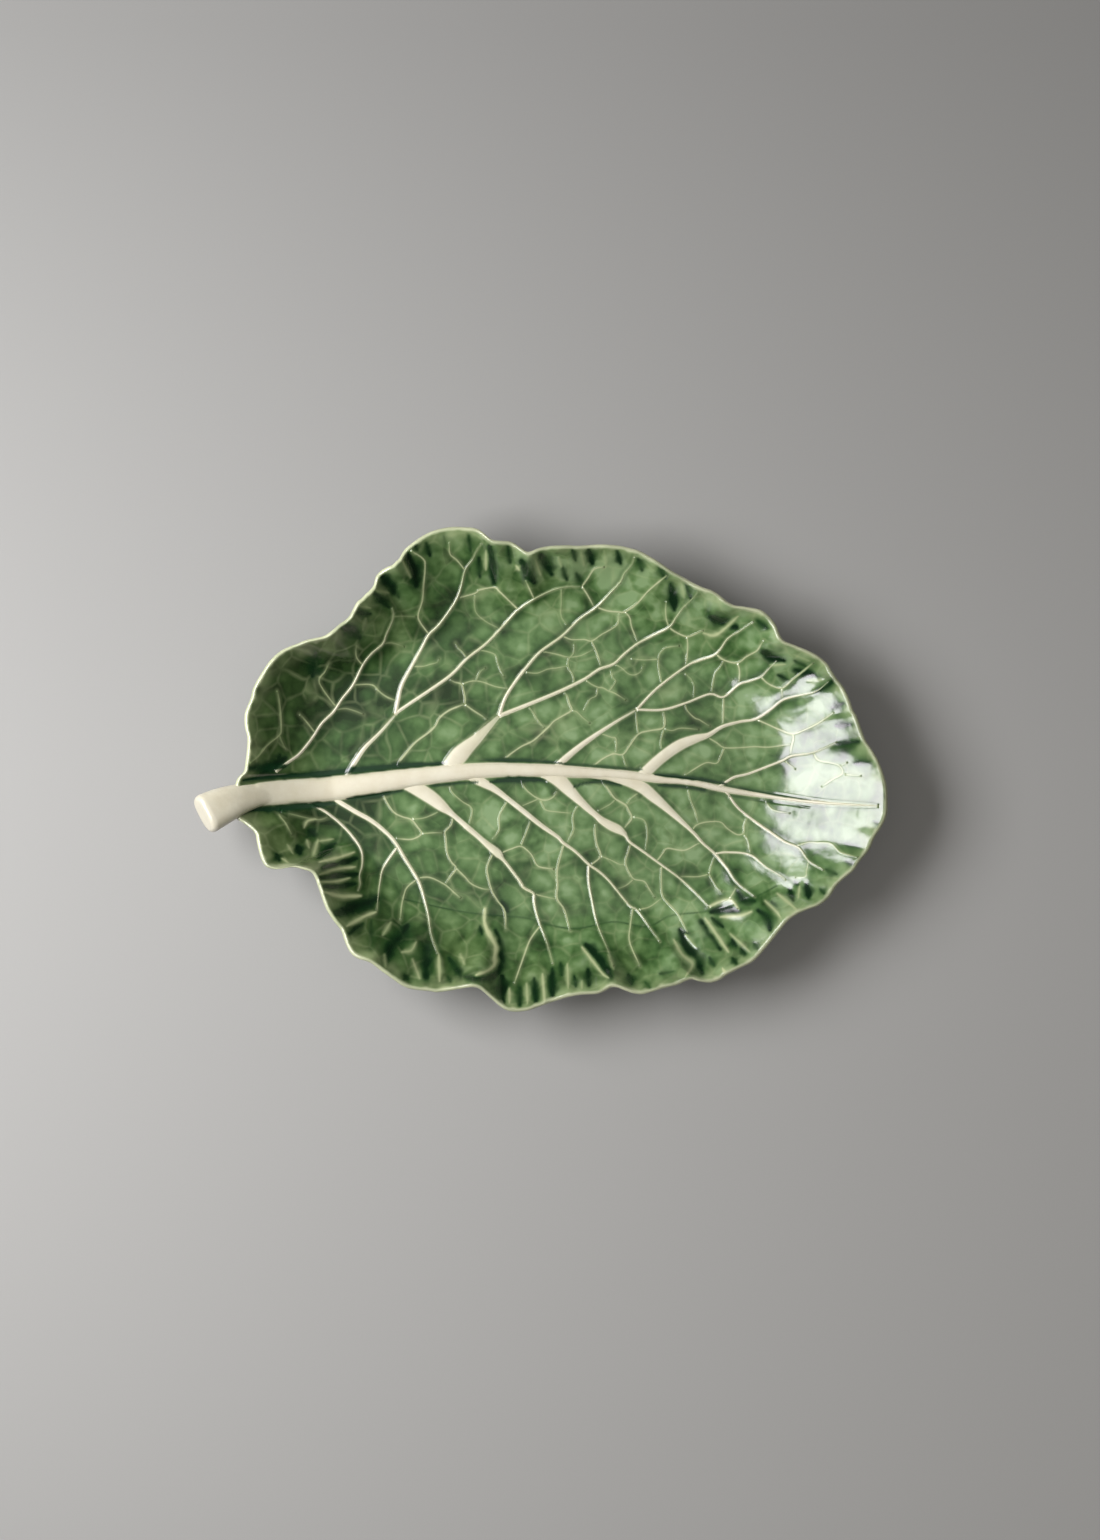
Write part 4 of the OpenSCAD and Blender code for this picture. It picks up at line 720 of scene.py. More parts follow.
def floor_reach(turn):
    t = np.radians(turn)
    return FLOOR_HALF_LENGTH * FLOOR_HALF_WIDTH / np.hypot(
        FLOOR_HALF_WIDTH * np.cos(t), FLOOR_HALF_LENGTH * np.sin(t))


def way_out(points):
    turn = heading(points)
    start = floor_reach(turn)
    return np.clip((np.hypot(points[:, 0], points[:, 1]) - start) / (crest_reach(turn) - start), 0, 1)


def folding(points):
    total = np.zeros(len(points))
    for middle in in_plan(FOLDS):
        out = middle / np.hypot(*middle)
        off = points - middle
        total += np.exp(-(off @ out / FOLD_LENGTH * 2) ** 2
                        - ((out[0] * off[:, 1] - out[1] * off[:, 0]) / FOLD_WIDTH * 2) ** 2)
    return total


def calm(values, turn):
    """A size round the edge without its ruffles."""
    steps = np.arange(-CALM_TURN, CALM_TURN + 1, CALM_STEP)
    share = np.exp(-(steps / CALM_TURN * 1.5) ** 2)
    return sum(values(turn + step) * part for step, part in zip(steps, share)) / share.sum()


TURNS = np.arange(0, 360, 0.5)
CALM_REACH, CALM_HEIGHT = calm(crest_reach, TURNS), calm(crest_height, TURNS)


def plain_height(points):
    """The dish as part.scad forms it, but on the right its ruffles start only near the rim."""
    turn, out = heading(points), way_out(points)
    exact = (crest_height(turn) - FLOOR_TOP) * out ** CLIMB_POWER
    start = floor_reach(turn)
    calm_out = (np.hypot(points[:, 0], points[:, 1]) - start) / (
        np.interp(turn, TURNS, CALM_REACH, period=360) - start)
    even = ((np.interp(turn, TURNS, CALM_HEIGHT, period=360) - FLOOR_TOP)
            * np.clip(calm_out, 0, 1.1) ** CLIMB_POWER)
    ruffled = np.clip((out - RUFFLE_START) / RUFFLE_RANGE, 0, 1)
    right = np.clip((np.cos(np.radians(turn)) - 0.5) / 0.3, 0, 1)
    share = (1 - ruffled ** 2 * (3 - 2 * ruffled)) * right
    return FLOOR_TOP + exact * (1 - share) + even * share - FOLD_DEPTH * folding(points) * out


def seen(rows):
    """Places read off the photograph, moved so that they show there on the dish below the rim."""
    out = in_plan(rows)
    middle = np.array([CAMERA_X, CAMERA_Y])
    flat = out[:, :2] - middle
    place = out[:, :2].copy()
    for _ in range(2):
        near = (CAMERA_HEIGHT - plain_height(place)) / (CAMERA_HEIGHT - SCALE_HEIGHT)
        place = middle + flat * near[:, None]
    out[:, :2] = place
    return out


def within(points, route, reach):
    """The points within reach of a route, how far off they are, and the route's further columns there."""
    away = np.full(len(points), np.inf)
    extra = np.zeros((len(points), route.shape[1] - 2))
    low_point, high_point = points.min(0), points.max(0)
    for start in range(0, len(route) - 1, 8):
        part = route[start:start + 9]
        low, high = part[:, :2].min(0) - reach, part[:, :2].max(0) + reach
        if (low > high_point).any() or (high < low_point).any():
            continue
        index = np.flatnonzero((points[:, 0] > low[0]) & (points[:, 0] < high[0])
                               & (points[:, 1] > low[1]) & (points[:, 1] < high[1]))
        chosen = points[index]
        for a, b in zip(part[:-1], part[1:]):
            run = b[:2] - a[:2]
            share = np.clip((chosen - a[:2]) @ run / max(run @ run, 1e-9), 0, 1)
            off = np.hypot(*(chosen - a[:2] - share[:, None] * run).T)
            closer = off < away[index]
            away[index[closer]] = off[closer]
            extra[index[closer]] = a[2:] + share[closer, None] * (b[2:] - a[2:])
    keep = np.flatnonzero(away < reach)
    return keep, away[keep], extra[keep]


def bumps(points, cell, seed):
    """Smooth noise from -1 to 1 with about one bump a cell."""
    grid = np.random.default_rng(seed).uniform(-1, 1, (64, 64))
    q = points / cell + 32
    i = np.floor(q).astype(int)
    f = q - i
    f = f * f * (3 - 2 * f)
    i0, i1 = i % 64, (i + 1) % 64
    low = grid[i0[:, 0], i0[:, 1]] * (1 - f[:, 0]) + grid[i1[:, 0], i0[:, 1]] * f[:, 0]
    high = grid[i0[:, 0], i1[:, 1]] * (1 - f[:, 0]) + grid[i1[:, 0], i1[:, 1]] * f[:, 0]
    return low * (1 - f[:, 1]) + high * f[:, 1]


def slim(route):
    """A vein's width without the flanks that its section adds."""
    width = route[:, 2]
    part = np.clip((width - VEIN_THIN) / VEIN_RANGE, 0, 1)
    route[:, 2] = np.maximum(width * (VEIN_SLIM + (1 - VEIN_SLIM) * part) - VEIN_FLANK, 0.5)
    return route


def marks(table, step=MARK_STEP):
    """Routes of hollows or ridges, that narrow towards both ends."""
    lines = []
    for row in table:
        line = smooth(seen(row[0]), step)
        lines.append((np.column_stack([line, 0.45 + 0.55 * np.sin(np.pi * along(line)) ** 0.6]), *row[1:]))
    return lines


PIT_ROUTES = marks(PITS)
RIDGE_ROUTES = marks(RIDGES)
GLINT_ROUTES = marks(GLINTS)
STROKE_ROUTES = marks(STROKES, ROUTE_STEP)
NET_ROUTES = [(smooth(seen(row[0]), ROUTE_STEP), *row[1:]) for row in NET_UPPER + NET_LOWER]
VEIN_ROUTES = [slim(smooth(seen(branch), ROUTE_STEP))
               for branches in SIDE_VEINS.values() for branch in branches]
MIDRIB_ROUTE = smooth(seen(MIDRIB), ROUTE_STEP)
GROOVE_ROUTE = smooth(seen(GROOVE), ROUTE_STEP)


def hill(off, wide, power=2):
    """A soft rise from 0 far off to 1 in the middle."""
    return np.exp(-(off / wide) ** power)


def soft_spots(points, table):
    """The lift that each soft oval spot of a table gives the points."""
    for u, v, long, wide, lift in table:
        off = points - in_plan([(u, v)])[0]
        yield lift * np.exp(-(off[:, 0] / long) ** 2 - (off[:, 1] / wide) ** 2)


def at_least(values, index, least):
    values[index] = np.maximum(values[index], least)


def mark_veins(points, look):
    """Glaze pools beside the veins, with painted shade there, and is pale on their flanks. Gives how far off
    the nearest vein is.
    """
    away = np.full(len(points), FAR)
    for route in VEIN_ROUTES + [MIDRIB_ROUTE]:
        index, off, extra = within(points, route, FAR)
        past = np.maximum(off - extra[:, 0] / 2, 0)
        away[index] = np.minimum(away[index], past)
        at_least(look["pool"], index, VEIN_POOL_AND_SHADE * hill(past - VEIN_POOL_AND_SHADE_OFF, VEIN_POOL_AND_SHADE_WIDE))
        at_least(look["pale"], index, VEIN_PALE * hill(past, VEIN_PALE_WIDE))
    return away


def mark_net(points, look):
    """Glaze is paler along the net's veins. Gives how far off the nearest one is."""
    away = np.full(len(points), FAR)
    for route, _, strength in NET_ROUTES:
        index, off, _ = within(points, route, NEAR)
        away[index] = np.minimum(away[index], off)
        at_least(look["pale"], index, (NET_PALE + NET_PALE_MORE * strength) * hill(off, NET_PALE_WIDE))
    return away


def press_strokes(points, z, look, rough):
    """Dark glaze with painted shade beside the midrib, the fine line of the foot, and the low swellings
    beside veins.
    """
    for route, half, strength in STROKE_ROUTES:
        index, off, extra = within(points, route, half * MARK_REACH)
        dark = hill(off * rough[index] / half, extra[:, 0], STROKE_POWER)
        at_least(look["stroke"], index, strength * dark)
        z[index] -= STROKE_DEPTH * dark
    index, off, _ = within(points, GROOVE_ROUTE, CLOSE)
    at_least(look["pool"], index, GROOVE_POOL * hill(off, GROOVE_POOL_WIDE))
    z[index] -= GROOVE_DEPTH * hill(off, GROOVE_WIDE)
    for route, half, height in GLINT_ROUTES:
        index, off, extra = within(points, route, half * MARK_REACH)
        z[index] += height * hill(off / half, extra[:, 0])


def press_ruffles(points, z, look, rough):
    """Dark pits and pale ridges near the rim, with painted shade in the pits and painted highlight on the
    ridges.
    """
    for route, half, depth, strength in PIT_ROUTES:
        half *= PIT_SPREAD
        index, off, extra = within(points, route, half * MARK_REACH)
        low = hill(off * rough[index] / half, extra[:, 0], PIT_POWER)
        z[index] -= depth * PIT_SHARE * low
        at_least(look["pool"], index, strength * low)
        look["pale"][index] *= 1 - PIT_HIDES_PALE * low
    for route, half, height, strength in RIDGE_ROUTES:
        half *= RIDGE_SPREAD
        index, off, extra = within(points, route, half * MARK_REACH)
        high = hill(off * rough[index] / half, extra[:, 0])
        z[index] += height * RIDGE_SHARE * high
        at_least(look["pale"], index, RIDGE_PALE_AND_HIGHLIGHT * strength ** RIDGE_PALE_AND_HIGHLIGHT_POWER * high)
        look["pool"][index] *= 1 - RIDGE_HIDES_POOL_AND_SHADE * high


def mark_rim(points, look, rough):
    """Thin pale glaze along the rim with a painted highlight on it, and a paler strip inside it, partly
    painted highlight too.
    """
    near = np.zeros(len(points))
    index, off, _ = within(points, EDGE_ROUTE, FAR)
    off = np.maximum(off - RIM_FLAT, 0)
    look["rim"][index] = np.clip(RIM_FULL - off / RIM_FADE * rough[index], 0, 1)
    near[index] = hill(off, NEAR_RIM)
    near = near * (NEAR_RIM_PALE_AND_HIGHLIGHT + NEAR_RIM_VARIES * bumps(points, 4.2, 22))
    look["pale"] = np.maximum(look["pale"], near * (1 - np.minimum(look["pool"] * 1.5, 1)))
    look["pool"] *= 1 - RIM_HIDES_POOL_AND_SHADE * look["rim"]


def tone_of(points, away, net_away):
    """How dark or light the green is, before the finer clouds of the material."""
    tone = TONE + TONE_ALONG_AND_SHEEN * points[:, 0] / TONE_LENGTH + TONE_CLOUDS * bumps(points, 15.0, 8)
    beside_net = hill(net_away - TONE_NET_OFF, TONE_NET_WIDE)
    tone += TONE_AWAY * (1 - hill(away, TONE_AWAY_WIDE)) - TONE_NET * beside_net
    for lift in soft_spots(points, PATCHES):
        tone += lift
    return tone


def surface(points):
    """Height of the glazed leaf at each place, and how its glaze looks there."""
    out = way_out(points)
    z = plain_height(points)
    for lift in soft_spots(points, SWELLINGS):
        z += lift * np.clip((1 - out) / SWELLING_EDGE, 0, 1)
    look = {key: np.zeros(len(points)) for key in ("pool", "pale", "stroke", "rim")}
    rough = 1 + 0.30 * bumps(points, 2.6, 21)
    away = mark_veins(points, look)
    net_away = mark_net(points, look)
    z -= CELL_DEPTH * (1 - hill(away, CELL_SPREAD))
    z -= NET_DEPTH * (1 - hill(net_away, NET_SPREAD))
    z += sum(height * bumps(points, size, seed) for height, size, seed in BUMPS) * (BUMPS_INSIDE + out)
    press_strokes(points, z, look, rough)
    press_ruffles(points, z, look, rough)
    mark_rim(points, look, rough)
    look["tone"] = tone_of(points, away, net_away)
    olive = np.clip(OLIVE - points[:, 0] / OLIVE_LENGTH + OLIVE_CLOUDS * bumps(points, 21.0, 31), 0, 1)
    look["olive"] = olive * np.minimum(out * OLIVE_OUT, 1)
    return z, look


# What points have where nothing else is given
PLAIN = {"pool": 0.10, "pale": 0.0, "tone": 0.42, "rim": 0.0, "stroke": 0.0, "olive": 0.3, "core": 0.0,
         "cut": 0.0}


class Skin:
    """Points, faces and fields of a mesh while it is being built."""

    def __init__(self):
        self.verts, self.faces, self.count = [], [], 0
        self.fields = {key: [] for key in PLAIN}

    def add(self, verts, **fields):
        """Adds points, with PLAIN's value for each field not given, and gives the first one's number."""
        verts = np.asarray(verts, float).reshape(-1, 3)
        self.verts.append(verts)
        for key, plain in PLAIN.items():
            self.fields[key].append(np.broadcast_to(np.asarray(fields.get(key, plain), float), len(verts)))
        self.count += len(verts)
        return self.count - len(verts)

    def join(self, faces):
        self.faces += [tuple(face) for face in np.asarray(faces).tolist()]

    def piece(self, name, material, replaces=()):
        """The finished piece, in metres at the origin."""
        mesh = bpy.data.meshes.new(name)
        mesh.from_pydata((np.concatenate(self.verts) * MM).tolist(), [], self.faces)
        for key, values in self.fields.items():
            mesh.attributes.new(key, "FLOAT", "POINT").data.foreach_set(
                "value", np.concatenate(values).astype(np.float32))
        mesh.polygons.foreach_set("use_smooth", [True] * len(mesh.polygons))
        mesh.update()
        obj = bpy.data.objects.new(name, mesh)
        bpy.context.scene.collection.objects.link(obj)
        obj.data.materials.append(material)
        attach(obj, "root")
        if replaces:
            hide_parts(*replaces)
        return obj


def band(first, second, count):
    """Faces between two closed rings of the same count, facing out when the second ring is outside."""
    i = np.arange(count)
    j = (i + 1) % count
    return np.stack([second + i, second + j, first + j, first + i], 1)


def halving(first, second, count):
    """Faces between a closed ring and one of half its count inside it."""
    j = np.arange(count // 2)
    k = (j + 1) % (count // 2)
    a, b, c = first + 2 * j, first + 2 * j + 1, first + (2 * j + 2) % count
    near, far = second + j, second + k
    groups = [(near, b, a), (near, far, b), (far, c, b)]
    return np.concatenate([np.stack(group, 1) for group in groups])[:, ::-1]


def oval(size, count):
    """A ring inside the floor's oval."""
    t = np.radians(np.arange(count) * 360 / count)
    return np.stack([np.cos(t), np.sin(t)], 1) * (floor_reach(np.degrees(t)) * size)[:, None]


def make_leaf(material):
    """The dished blade: floor, wall, rolled rim and underside in one closed skin."""
    turn = np.arange(AROUND) * 360 / AROUND
    ray = np.stack([np.cos(np.radians(turn)), np.sin(np.radians(turn))], 1)
    start, crest = floor_reach(turn), crest_reach(turn)
    # Top, from the crest inwards down the wall, then over the floor in ovals that lose half their points
    places = [ray * (start + (crest - start) * (1 - k / WALL_RINGS))[:, None] for k in range(WALL_RINGS + 1)]
    faces = [band((k + 1) * AROUND, k * AROUND, AROUND) for k in range(WALL_RINGS)]
    ring, last, offset = WALL_RINGS * AROUND, AROUND, (WALL_RINGS + 1) * AROUND
    rings = int(FLOOR_HALF_LENGTH / FLOOR_STEP)
    for k in range(1, rings):
        size = 1 - k / rings
        count = AROUND // 2 if size > 0.5 else AROUND // 4 if size > 0.25 else AROUND // 8
        places.append(oval(size, count))
        faces.append(band(offset, ring, count) if count == last else halving(ring, offset, last))
        ring, last = offset, count
        offset += count
    places.append(np.zeros((1, 2)))
    i = np.arange(last)
    faces.append(np.stack([ring + i, ring + (i + 1) % last, np.full(last, offset)], 1))
    top = np.concatenate(places)
    z, fields = surface(top)
    skin = Skin()
    skin.add(np.column_stack([top, z]), **fields)
    for group in faces:
        skin.join(group)
    # The rolled rim
    crest_z = z[:AROUND]
    previous = 0
    for k in range(1, RIM_STEPS + 1):
        roll = math.radians(90 - 180 * k / (RIM_STEPS + 1))
        ring = ray * (crest + RIM_ROUND * math.cos(roll))[:, None]
        first = skin.add(np.column_stack([ring, crest_z - RIM_ROUND + RIM_ROUND * math.sin(roll)]),
                         rim=1.0 if k < RIM_STEPS - 1 else 0.6, pool=0.0, tone=0.5)
        skin.join(band(previous, first, AROUND))
        previous = first
    # The underside down to the foot
    for k in range(UNDER_RINGS + 1):
        part = 1 - k / UNDER_RINGS
        ring = ray * (start + (crest - start) * part)[:, None]
        under = plain_height(ring) - (WALL + (RIM_WALL - WALL) * part)
        under += (crest_z - plain_height(ray * crest[:, None])) * part ** 6
        first = skin.add(np.column_stack([ring, under]), rim=0.0 if k else 0.25)
        skin.join(band(previous, first, AROUND))
        previous = first
    last = AROUND
    for size in (0.9, 0.6, 0.3):
        ring = oval(size, last // 2)
        first = skin.add(np.column_stack([ring, np.full(len(ring), FOOT_HEIGHT)]))
        skin.join(halving(previous, first, last)[:, ::-1])
        previous, last = first, last // 2
    centre = skin.add([(0, 0, FOOT_HEIGHT)])
    i = np.arange(last)
    skin.join(np.stack([previous + (i + 1) % last, previous + i, np.full(last, centre)], 1))
    skin.piece("leaf", material, ["leaf_blade"])


# Across a rib: share of half its width, millimetres beyond that, share of its height, how much of it is vein,
# and how far it lies above the leaf
BROAD_SECTION = [
    (1.0, 3.2, 0.0, 0.0, -0.25), (1.0, 2.2, 0.0, 0.0, 0.04), (1.0, 1.2, 0.0, 0.0, 0.05),
    (1.0, 0.5, 0.01, 0.0, 0.05), (1.0, 0.1, 0.10, 0.30, 0.05), (0.965, 0.0, 0.26, 0.85, 0.0),
    (0.88, 0.0, 0.48, 1.0, 0.0), (0.74, 0.0, 0.70, 1.0, 0.0), (0.52, 0.0, 0.87, 1.0, 0.0),
    (0.27, 0.0, 0.97, 1.0, 0.0), (0.0, 0.0, 1.0, 1.0, 0.0),
]
VEIN_SECTION = [
    (1.0, 1.5, 0.0, 0.0, -0.25), (1.0, 0.9, 0.0, 0.0, 0.05), (1.0, 0.4, 0.03, 0.0, 0.06),
    (1.0, 0.1, 0.18, 0.26, 0.05), (0.86, 0.0, 0.50, 0.92, 0.0), (0.60, 0.0, 0.80, 1.0, 0.0),
    (0.3, 0.0, 0.95, 1.0, 0.0), (0.0, 0.0, 1.0, 1.0, 0.0),
]
NET_SECTION = [
    (1.0, 1.1, 0.0, 0.0, -0.2), (1.0, 0.55, 0.02, 0.08, 0.03), (1.0, 0.1, 0.20, 0.36, 0.03),
    (0.6, 0.0, 0.66, 0.80, 0.0), (0.0, 0.0, 1.0, 1.0, 0.0),
]
# Millimetres that a rib's foot lies in the leaf
SUNK = 1.0
# A side vein loses its cream from this far out, in mm, over this many more: across the plate, and to the tip
FADE_ACROSS, FADE_TIP = (22, 60), (105, 45)
# Share of a faded vein's paleness that goes with its cream
FADE_PALE = 0.4


def add_rib(skin, route, section, height_of, cream=1.0, soft=1.0, end_taper=6.0, start_taper=0.0, fade=0.0):
    """A rib of vein swept along a route of place and width. Its ends taper over so many mm."""
    run = np.gradient(route[:, :2], axis=0)
    run /= np.maximum(np.hypot(*run.T), 1e-9)[:, None]
    side = np.stack([-run[:, 1], run[:, 0]], 1)
    gone = along(route) * np.hypot(*np.diff(route[:, :2], axis=0).T).sum()
    grow = np.clip((gone[-1] - gone + 0.3) / end_taper, 0, 1) ** 0.7
    if start_taper:
        grow *= np.clip((gone + 0.3) / start_taper, 0, 1) ** 0.7
    half = route[:, 2] / 2 * (0.5 + 0.5 * grow)
    tall = height_of(route[:, 2]) * grow
    rows = section + [(-a, -b, c, d, e) for a, b, c, d, e in section[-2::-1]]
    share, beyond, rise, vein, lift = (np.array(column) for column in zip(*rows))
    flank = np.minimum(0.35 + 0.65 * grow, 0.3 + route[:, 2] / 4)[:, None] * beyond
    place = route[:, None, :2] + side[:, None, :] * (half[:, None] * share + flank)[:, :, None]
    z, fields = surface(place.reshape(-1, 2))
    shape = place.shape[:2]
    base = z.reshape(shape)
    top = base + tall[:, None] * rise + lift
    length, count = shape[0], shape[1] + 2

    def closed(values, first, last):
        """The rows with their two lower corners added."""
        return np.concatenate([values, last[:, None], first[:, None]], 1)
    verts = np.stack([closed(place[:, :, 0], place[:, 0, 0], place[:, -1, 0]),
                      closed(place[:, :, 1], place[:, 0, 1], place[:, -1, 1]),
                      closed(top, base[:, 0] - SUNK, base[:, -1] - SUNK)], 2)
    fields = {key: closed(values.reshape(shape), values.reshape(shape)[:, 0], values.reshape(shape)[:, -1])
              for key, values in fields.items()}
    vein = closed(vein * (0.35 + 0.65 * grow[:, None]), np.zeros(length), np.zeros(length))
    bare = 1 - np.clip(fields["stroke"] * 1.6, 0, 1)
    outward = np.maximum((np.abs(route[:, 1]) - FADE_ACROSS[0]) / FADE_ACROSS[1],
                         (route[:, 0] - FADE_TIP[0]) / FADE_TIP[1])
    outward = np.clip(outward, 0, 1)[:, None]
    fields["core"] = vein * bare * cream * (1 - fade * outward)
    faded = 1 - FADE_PALE * fade * outward
    fields["pale"] = np.maximum(fields["pale"] * bare, vein ** 0.7 * soft * bare * faded)
    fields["pool"] = fields["pool"] * (1 - vein ** 0.5)
    first = skin.add(verts, **{key: values.ravel() for key, values in fields.items()})
    i = np.arange(count)
    j = (i + 1) % count
    for k in range(first, first + (length - 1) * count, count):
        skin.join(np.stack([k + i, k + j, k + count + j, k + count + i], 1))
    skin.faces.append(tuple(range(first + count - 1, first - 1, -1)))
    skin.faces.append(tuple(range(first + (length - 1) * count, first + length * count)))


def vein_height(width):
    """Height of a side vein above the leaf, in mm, by its width."""
    return 0.34 + 0.10 * np.minimum(width, 3.5) + 0.03 * np.maximum(width - 3.5, 0)


def net_height(width):
    """The same for the net's veins."""
    return 0.11 * width


def midrib_height(width):
    """The same for the midrib."""
    return 0.19 * width + 0.40


def make_veins(material):
    """The midrib, each side vein with its branches, and the net of small veins."""
    skin = Skin()
    add_rib(skin, smooth(seen(MIDRIB), RIB_STEP), BROAD_SECTION, midrib_height, end_taper=30, start_taper=10,
            fade=0.2)
    skin.piece("midrib_skin", material, ["midrib"])
    for node, branches in SIDE_VEINS.items():
        skin = Skin()
        for branch in branches:
            add_rib(skin, slim(smooth(seen(branch), 1.0)), VEIN_SECTION, vein_height, cream=0.94, soft=0.92,
                    end_taper=26, fade=0.85)
        skin.piece(node.replace("side_vein", "vein"), material, [node])
    for name, table in (("net_upper", NET_UPPER), ("net_lower", NET_LOWER)):
        skin = Skin()
        for rows, width, strength in table:
            route = smooth(seen(rows), RIB_STEP)
            route = np.column_stack([route, width * NET_SLIM * (1 + 0.18 * bumps(route, 3.1, 5))])
            add_rib(skin, route, NET_SECTION, net_height, cream=max(0, strength - 0.50) * 0.8,
                    soft=0.18 + 0.80 * strength, end_taper=5)
        skin.piece(name, material)


# Stations of the stalk: place, height of its middle, width and depth in hundredths of its named sizes.
# It lies flush in the midrib at first and ends where part.scad's stalk ends
STALK = [
    (-37.6, -4.7, 45.5, 51, 34), (-38.8, -4.85, 50.2, 53, 40), (-40.0, -5.0, 54.3, 56, 48),
    (-41.2, -5.25, 58.8, 60, 58), (-42.4, -5.65, 63.3, 67, 69), (-43.8, -6.2, 68.85, 77, 80),
    (-45.3, -7.0, 74.9, 87, 90), (-46.8, -7.95, 80.8, 94.5, 96.5), (-48.1, -8.88, 86.1, 99, 99.5),
    (-48.84, -9.43, 89.2, 100, 100),
]
STALK_AROUND = 96
# How square its section is: 1 for an oval, less for flatter sides
STALK_SQUARE = 0.72
# The rounded end: shares of the section, and millimetres out from its plane
STALK_END = [
    (1.0, -3.0), (0.99, -2.2), (0.968, -1.5), (0.935, -0.95), (0.89, -0.52), (0.83, -0.22), (0.75, -0.06),
    (0.65, 0.0), (0.45, 0.0), (0.2, 0.0),
]


def make_stalk(material):
    """The round stalk that grows out of the midrib and widens to its cut end."""
    rows = in_plan(STALK)
    rows[:, 2:] *= np.array([RIM_HEIGHT, STALK_WIDTH, STALK_DEPTH]) / 100
    line = smooth(rows, 0.8)
    run = np.gradient(line[:, :3], axis=0)
    run /= np.linalg.norm(run, axis=1)[:, None]
    side = np.stack([-run[:, 1], run[:, 0], np.zeros(len(line))], 1)
    side /= np.linalg.norm(side, axis=1)[:, None]
    up = np.cross(run, side)
    turn = np.radians(np.arange(STALK_AROUND) * 360 / STALK_AROUND)[:, None]
    across = np.sign(np.cos(turn)) * np.abs(np.cos(turn)) ** STALK_SQUARE
    high = np.sign(np.sin(turn)) * np.abs(np.sin(turn)) ** STALK_SQUARE
    rings = [middle[:3] + side[i] * middle[3] / 2 * across + up[i] * middle[4] / 2 * high
             for i, middle in enumerate(line)]
    end, out = line[-1, :3], run[-1]
    body = [ring for ring, middle in zip(rings, line) if (end - middle[:3]) @ out > -STALK_END[0][1] + 0.3]
    body += [end + (rings[-1] - end) * size + out * far for size, far in STALK_END]
    skin = Skin()
    plain = {"core": 1.0, "pool": 0.0, "tone": 0.5}
    # The end rings get painted shade that darkens the end face turned to the window
    firsts = [skin.add(ring, cut=max(0.0, 1 - (len(body) - 1 - i) / len(STALK_END)) ** 0.5, **plain)
              for i, ring in enumerate(body)]
    for first, second in zip(firsts[:-1], firsts[1:]):
        skin.join(band(first, second, STALK_AROUND)[:, ::-1])
    tip = skin.add(end, cut=1.0, **plain)
    i = np.arange(STALK_AROUND)
    skin.join(np.stack([firsts[-1] + i, firsts[-1] + (i + 1) % STALK_AROUND, np.full(STALK_AROUND, tip)], 1))
    skin.faces.append(tuple(range(STALK_AROUND))[::-1])
    skin.piece("stalk_skin", material, ["stalk"])


# Materials
def rgba(colour):
    return (*colour, 1.0)


